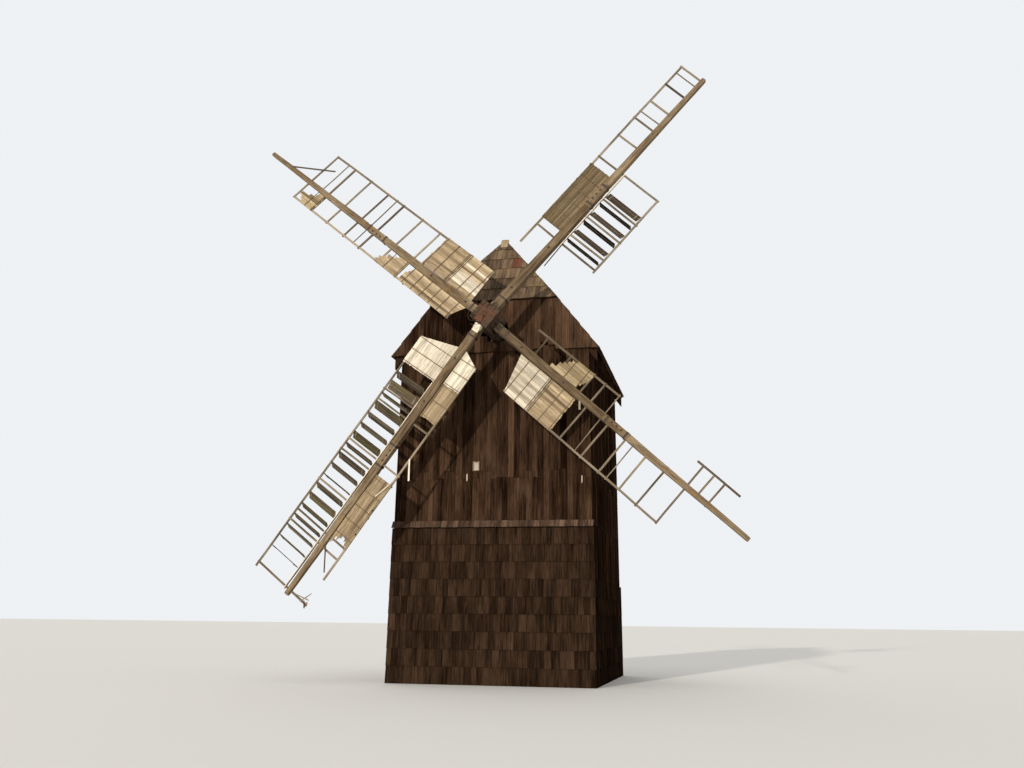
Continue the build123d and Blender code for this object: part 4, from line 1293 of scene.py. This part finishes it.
def shutter(joinery, name, number, pin, blade):
    """A shutter of two planks on two cleats, round the middle of its pin."""
    growth = green_shutters.get((name, number), 0.3)
    for half in (-1, 1):
        size = (blade, shutter_chord / 2 - 0.002, 0.012)
        shade, bleach, stain = worn_tint(joinery, 0.35, 0.2, growth)
        # Painted shade: the planks are darker and less bleached than the sail boards
        tint = (shade + shutter_painted_shade, bleach + shutter_bleach_in_shade, stain)
        # Painted shade: these shutters are tinted near black for their shadowed undersides
        if (name, number) in shaded_shutters:
            tint = painted_shade_tint
        joinery.board(pin @ at(0, half * shutter_chord / 4, 0), size, tint, 0.003)
    for end in (-1, 1):
        cleat = (0.03, shutter_chord * 0.8, 0.014)
        tint = worn_tint(joinery, 0.5, 0.1)
        joinery.board(pin @ at(end * blade * 0.4, 0, 0.012), cleat, tint, 0.003)


def hang_shutters():
    """The shutters on their pins, and the rods that once turned them."""
    rods = Joinery(83)
    for name, seed in (("ll", 81), ("ur", 82)):
        joinery = Joinery(seed)
        sail = sails[name]
        flat = arm_place(name, weather)
        inner = stile_offset + stile_width / 2
        outer = sail["wide"] - rail_width / 2
        blade = outer - inner - 0.04
        for number, opened in enumerate(shutter_angles[name]):
            distance = first_shutter[name] + number * shutter_pitch[name]
            middle = flat @ at(distance, -(inner + outer) / 2, 0)
            pin = middle @ turned(radians(opened), "Y") @ turned(pi / 2, "Z")
            shutter(joinery, name, number, pin, blade)
            joinery.rod(pin @ turned(pi / 2, "Y") @ at(0, 0, -(outer - inner) / 2), 0.009, outer - inner, 10)
        joinery.finish(f"shutter_planks_{name}", "rotor", "sail_boards", "lath_timber", f"shutters_{name}")
        start, end = pull_rod_start[name], sail["stile"][1]
        sway = wander(rods.rng, 0.004, 1.3)

        def springy(point, sway=sway):
            return Vector((point.x, point.y + sway(point.x), point.z + abs(sway(point.x))))

        place = flat @ at((start + end) / 2, -stile_offset, pull_rod_lift)
        size = (end - start, pull_rod_width, pull_rod_thickness)
        rods.board(place, size, (0.8, 0.75, -0.1), 0.003, 24, springy)
    rods.finish("shutter_pull_rods", "rotor", "sail_laths", "lath_timber", "shutter_rods")


loose_thickness = 0.014


def loose_lath(joinery, name, start, end, lift, width, tint):
    """A lath that has come away, from one place on a sail to another, as distances out and across."""
    flat = arm_place(name, weather)
    first, last = flat @ Vector((*start, lift)), flat @ Vector((*end, lift))
    along = (last - first).normalized()
    face = flat.to_3x3().col[2]
    face = (face - along * face.dot(along)).normalized()
    place = place_of(along, face, (first + last) / 2)
    size = ((last - first).length, width, loose_thickness)
    joinery.board(place, size, tint, rings=5, ragged=(0.02, 0.03))


def hanging_lath(joinery, name, start, lift, drop, width, tint):
    """A lath that hangs straight down by one nail from a place on a sail."""
    top = arm_place(name, weather) @ Vector((*start, lift))
    place = place_of(Vector((0, 0, 1)), Vector((0, -1, 0)), top - Vector((0, 0, drop / 2)))
    joinery.board(place, (drop, width, loose_thickness), tint, rings=4, ragged=(0.03, 0.01))


def hang_loose_laths():
    """Laths that have come away. Some lie askew on their sails, and others hang by one nail."""
    joinery = Joinery(91)
    loose_lath(joinery, "ul", (9.05, -0.02), (7.7, -0.78), 0.075, 0.05, (-0.9, 0, 0))
    hanging_lath(joinery, "ll", (4.55, 0.7), 0.045, 0.62, 0.05, (0.9, 1.1, 0))
    hanging_lath(joinery, "ll", (7.78, 0.1), 0.1, 0.85, 0.035, (-1.0, 0, 0))
    hanging_lath(joinery, "lr", (3.6, -0.08), 0.12, 0.26, 0.05, (0.2, 0.4, 0))
    loose_lath(joinery, "ll", (5.35, 0.7), (5.95, 0.52), 0.06, 0.035, (0.6, 0.6, 0))
    loose_lath(joinery, "ll", (9.42, 0.25), (9.3, 0.72), 0.03, 0.03, (-0.2, 0.3, 0))
    loose_lath(joinery, "ll", (9.5, 0.5), (9.1, 0.68), 0.035, 0.028, (0.2, 0.4, 0))
    loose_lath(joinery, "ll", (9.38, 0.6), (9.55, 0.76), 0.04, 0.03, (-0.4, 0.2, 0))
    loose_lath(joinery, "ur", (2.2, -0.24), (3.1, -0.2), 0.03, 0.03, (-1.4, 0, 0))
    joinery.finish("loose_laths", "rotor", "sail_laths", "lath_timber")


def wire(joinery, points, radius):
    """A bent wire through a row of points."""
    for start, end in zip(points[:-1], points[1:]):
        along = end - start
        place = place_of(along.orthogonal().normalized(), along.normalized(), start)
        joinery.rod(place, radius, along.length + radius, 6)


def strap_head(head):
    """Old straps bolted over the head's front."""
    straps = Joinery(101)
    straps.board(head @ at(0, 0.12, 0.006), (0.6, 0.07, 0.012), wear=0.002)
    straps.board(head @ at(0.02, -0.13, 0.006), (0.58, 0.06, 0.012), wear=0.002)
    straps.board(head @ at(0.1, 0, 0.016) @ turned(pi / 2 + 0.06, "Z"), (0.6, 0.09, 0.01), wear=0.002)
    straps.board(head @ at(-0.2, 0.02, 0.014) @ turned(0.5, "Z"), (0.2, 0.17, 0.01), wear=0.002)
    for x, y in ((0.22, 0.12), (-0.12, 0.12), (0.24, -0.13), (-0.18, -0.13)):
        straps.bolt(head @ at(x, y, 0.012), 0.026)
    for number in range(3):
        straps.rod(head @ at(0.1, 0.2 - 0.2 * number, 0.02), 0.018, 0.02, 8)
    straps.finish("head_straps", "rotor", "iron", "rusted_iron")


def drive_wedges():
    """Wedges where the stocks enter the head."""
    wedges = Joinery(102)
    lift = hub_width / 2
    for name, distance, size, tint in (
        ("ll", 0.44, (0.24, 0.2, 0.1), (0.9, 1.2, 0)),
        ("ll", 0.39, (0.14, 0.26, 0.05), (0.2, 0.5, 0)),
        ("ul", 0.42, (0.16, 0.16, 0.05), (0, 0.3, 0)),
        ("ur", 0.4, (0.14, 0.17, 0.07), (-1.0, 0, 0)),
        ("lr", 0.42, (0.16, 0.15, 0.06), (-0.5, 0, 0)),
    ):
        place = arm_place(name) @ at(distance, 0.01, lift + size[2] / 2)

        def sharpened(point, reach=size[0]):
            share = 0.5 + point.x / reach
            return Vector((point.x, point.y, point.z - (0.6 * share * size[2] if point.z > 0 else 0)))

        wedges.board(place, size, tint, 0.008, 3, sharpened)
    wedges.finish("head_wedges", "rotor", "sail_timber", "lath_timber")


def bolt_arms(head):
    """Bolts along the arms and through their splices, and old wire round the head."""
    bolts = Joinery(103)
    for name, distances in (("ul", (0.95, 2.4)), ("ll", (1.5, 3.0)), ("lr", (1.3, 2.9)), ("ur", (1.1, 2.7))):
        for distance in distances:
            bolts.bolt(arm_place(name) @ at(distance, 0, arm_width(name, distance) / 2))
    for name in sails:
        for distance in (4.68, 4.85, 5.02):
            bolts.bolt(arm_place(name) @ at(distance, 0.03, arm_width(name, distance) / 2), 0.024)
    for distance in (6.3, 7.1):
        bolts.bolt(arm_place("ll", weather) @ at(distance, 0.71, 0.035), 0.022)
    for bends in (
        [(-0.36, 0.1, 0.02), (-0.42, 0.22, 0.05), (-0.34, 0.34, 0.07), (-0.2, 0.4, 0.04), (-0.12, 0.3, 0.02)],
        [(0.05, 0.3, 0.02), (0.14, 0.42, 0.06), (0.28, 0.46, 0.05), (0.36, 0.4, 0.0)],
        [(-0.3, -0.1, 0.02), (-0.44, -0.02, 0.06), (-0.5, 0.12, 0.04)],
    ):
        wire(bolts, [head @ Vector(bend) for bend in bends], 0.006)
    bolts.finish("arm_bolts", "rotor", "iron", "black_iron")


def fit_hub():
    """Finishes the windshaft and all the bands, and fits the irons and wedges of the head and arms."""
    finish_nodes("windshaft_timber", "windshaft")
    finish_nodes("black_iron", "head_bands", "stock_bands")
    head_front = 0.46
    turn = radians((sails["ur"]["angle"] + sails["ll"]["angle"] - 180) / 2)
    head = place_of(along_shaft(cos(turn), sin(turn), 0), shaft, hub + shaft * head_front)
    strap_head(head)
    drive_wedges()
    bolt_arms(head)


# Stage


def lay_floor():
    """A pale floor that reaches far behind the mill."""
    floor_reach = 300
    mesh = bpy.data.meshes.new("floor")
    grid = bmesh.new()
    bmesh.ops.create_grid(grid, x_segments=2, y_segments=2, size=floor_reach)
    grid.to_mesh(mesh)
    grid.free()
    finish = Finish(bpy.data.materials.new("floor"))
    plain = {"Base Color": tone("floor"), "Roughness": 0.9, "Specular IOR Level": 0.1}
    shader = finish.node("ShaderNodeBsdfPrincipled", None, plain)
    finish.node("ShaderNodeOutputMaterial", None, {"Surface": shader.outputs[0]})
    mesh.materials.append(finish.owner)
    floor = bpy.data.objects.new("floor", mesh)
    bpy.context.scene.collection.objects.link(floor)


def light_sky():
    """A weak even light all round, in front of a pale background."""
    world = bpy.data.worlds.new("sky")
    bpy.context.scene.world = world
    sky = Finish(world)
    path = sky.node("ShaderNodeLightPath")
    seen = Field(sky, path.outputs["Is Camera Ray"]) + Field(sky, path.outputs["Is Glossy Ray"])
    seen = seen + Field(sky, path.outputs["Is Transmission Ray"])
    ambient = sky.node("ShaderNodeBackground", None, {"Color": (1.0, 0.98, 0.95, 1), "Strength": 0.28})
    backdrop = sky.node("ShaderNodeBackground", None, {"Color": tone("backdrop"), "Strength": 1.0})
    either = sky.node("ShaderNodeMixShader", None, {0: seen, 1: ambient.outputs[0], 2: backdrop.outputs[0]})
    sky.node("ShaderNodeOutputWorld", None, {"Surface": either.outputs[0]})


def hang_lamps():
    """A low sun from the front left, and broad lights from above and from behind."""
    for name, energy, spread, tint, direction in (
        ("low_sun", 2.2, 2.0, (1.0, 0.94, 0.84), (0.25, 0.93, -0.27)),
        ("high_light", 0.8, 60, (1.0, 0.97, 0.93), (0.0, 0.15, -1.0)),
        ("rear_light", 0.6, 50, (1.0, 0.97, 0.93), (0.3, -0.65, -0.7)),
    ):
        lamp = bpy.data.lights.new(name, "SUN")
        lamp.energy = energy
        lamp.angle = radians(spread)
        lamp.color = tint
        light = bpy.data.objects.new(name, lamp)
        light.rotation_euler = Vector(direction).to_track_quat("-Z", "Y").to_euler()
        bpy.context.scene.collection.objects.link(light)


def aim_camera():
    """The camera, placed and turned as the photo's was. Its turns are in radians."""
    photo_width, focal_pixels, sensor = 1024, 1000, 36
    eye = Vector((6.66, -31.26, 1.79))
    yaw, pitch, roll = -0.215, 0.231, 0.011
    ahead = Vector((sin(yaw) * cos(pitch), cos(yaw) * cos(pitch), sin(pitch)))
    level = Vector((cos(yaw), -sin(yaw), 0))
    above = level.cross(ahead)
    across = level * cos(roll) + above * sin(roll)
    upward = above * cos(roll) - level * sin(roll)
    camera = bpy.data.objects.new("camera", bpy.data.cameras.new("camera"))
    camera.data.sensor_width = sensor
    camera.data.lens = focal_pixels * sensor / photo_width
    camera.data.clip_end = 900
    turn = Matrix((across, upward, -ahead)).transposed().to_4x4()
    camera.matrix_world = Matrix.Translation(eye) @ turn
    bpy.context.scene.collection.objects.link(camera)
    bpy.context.scene.camera = camera


def set_stage():
    """The floor, the light and the camera."""
    lay_floor()
    light_sky()
    hang_lamps()
    aim_camera()
    bpy.context.scene.view_settings.view_transform = "Standard"


# Operators


class WINDMILL_OT_walls(bpy.types.Operator):
    """Clad the four walls with upright boards"""

    bl_idname = "windmill.walls"
    bl_label = "Walls"

    def execute(self, context):
        board_walls()
        return {"FINISHED"}


class WINDMILL_OT_courses(bpy.types.Operator):
    """Lay the lapped courses round the foot and the ledge above them"""

    bl_idname = "windmill.courses"
    bl_label = "Courses and Ledge"

    def execute(self, context):
        course_foot()
        lay_ledge()
        return {"FINISHED"}


class WINDMILL_OT_gables(bpy.types.Operator):
    """Board both gables under the half-hips"""

    bl_idname = "windmill.gables"
    bl_label = "Gables"

    def execute(self, context):
        board_gables()
        return {"FINISHED"}


class WINDMILL_OT_roof(bpy.types.Operator):
    """Shingle the roof and finish its trim"""

    bl_idname = "windmill.roof"
    bl_label = "Roof"

    def execute(self, context):
        shingle_roof()
        return {"FINISHED"}


class WINDMILL_OT_openings(bpy.types.Operator):
    """Finish the window and hang the rear door"""

    bl_idname = "windmill.openings"
    bl_label = "Window and Door"

    def execute(self, context):
        fit_openings()
        return {"FINISHED"}


class WINDMILL_OT_inner_frame(bpy.types.Operator):
    """Finish the timber frame behind the boards"""

    bl_idname = "windmill.inner_frame"
    bl_label = "Inner Frame"

    def execute(self, context):
        finish_frame()
        return {"FINISHED"}


class WINDMILL_OT_arms(bpy.types.Operator):
    """Shape the stocks and whips that carry the sails"""

    bl_idname = "windmill.arms"
    bl_label = "Sail Arms"

    def execute(self, context):
        make_arms()
        return {"FINISHED"}


class WINDMILL_OT_sail_frames(bpy.types.Operator):
    """Build the bars, rails and stiles of the four sails"""

    bl_idname = "windmill.sail_frames"
    bl_label = "Sail Frames"

    def execute(self, context):
        frame_sails()
        return {"FINISHED"}


class WINDMILL_OT_sail_laths(bpy.types.Operator):
    """Lay the laths that are left on the sails"""

    bl_idname = "windmill.sail_laths"
    bl_label = "Sail Laths"

    def execute(self, context):
        lath_sails()
        hang_loose_laths()
        return {"FINISHED"}


class WINDMILL_OT_shutters(bpy.types.Operator):
    """Hang the shutters and their rods"""

    bl_idname = "windmill.shutters"
    bl_label = "Shutters"

    def execute(self, context):
        hang_shutters()
        return {"FINISHED"}


class WINDMILL_OT_hub(bpy.types.Operator):
    """Finish the windshaft's head and bolt the arms"""

    bl_idname = "windmill.hub"
    bl_label = "Hub"

    def execute(self, context):
        fit_hub()
        return {"FINISHED"}


class WINDMILL_OT_stage(bpy.types.Operator):
    """Set the floor, the light and the camera"""

    bl_idname = "windmill.stage"
    bl_label = "Stage"

    def execute(self, context):
        set_stage()
        return {"FINISHED"}


steps = (
    WINDMILL_OT_stage,
    WINDMILL_OT_walls,
    WINDMILL_OT_courses,
    WINDMILL_OT_gables,
    WINDMILL_OT_roof,
    WINDMILL_OT_openings,
    WINDMILL_OT_inner_frame,
    WINDMILL_OT_arms,
    WINDMILL_OT_sail_frames,
    WINDMILL_OT_sail_laths,
    WINDMILL_OT_shutters,
    WINDMILL_OT_hub,
)


class WINDMILL_PT_panel(bpy.types.Panel):
    """Settings and steps of the windmill"""

    bl_idname = "WINDMILL_PT_panel"
    bl_label = "Timber Windmill"
    bl_space_type = "VIEW_3D"
    bl_region_type = "UI"
    bl_category = "Windmill"

    def draw(self, context):
        for group in (context.scene.windmill_sizes, context.scene.windmill_colours):
            column = self.layout.column(align=True)
            for name in group.__annotations__:
                column.prop(group, name)
        for step in steps:
            self.layout.operator(step.bl_idname)


classes = (WindmillSizes, WindmillColours, *steps, WINDMILL_PT_panel)


def register():
    """Adds the settings, the steps and their panel."""
    for each in classes:
        bpy.utils.register_class(each)
    bpy.types.Scene.windmill_sizes = PointerProperty(type=WindmillSizes)
    bpy.types.Scene.windmill_colours = PointerProperty(type=WindmillColours)


def unregister():
    """Takes them away again."""
    del bpy.types.Scene.windmill_colours
    del bpy.types.Scene.windmill_sizes
    for each in reversed(classes):
        bpy.utils.unregister_class(each)


def main():
    """Takes every step in turn."""
    register()
    for step in steps:
        getattr(bpy.ops.windmill, step.bl_idname.split(".")[1])()


if __name__ == "__main__":
    main()
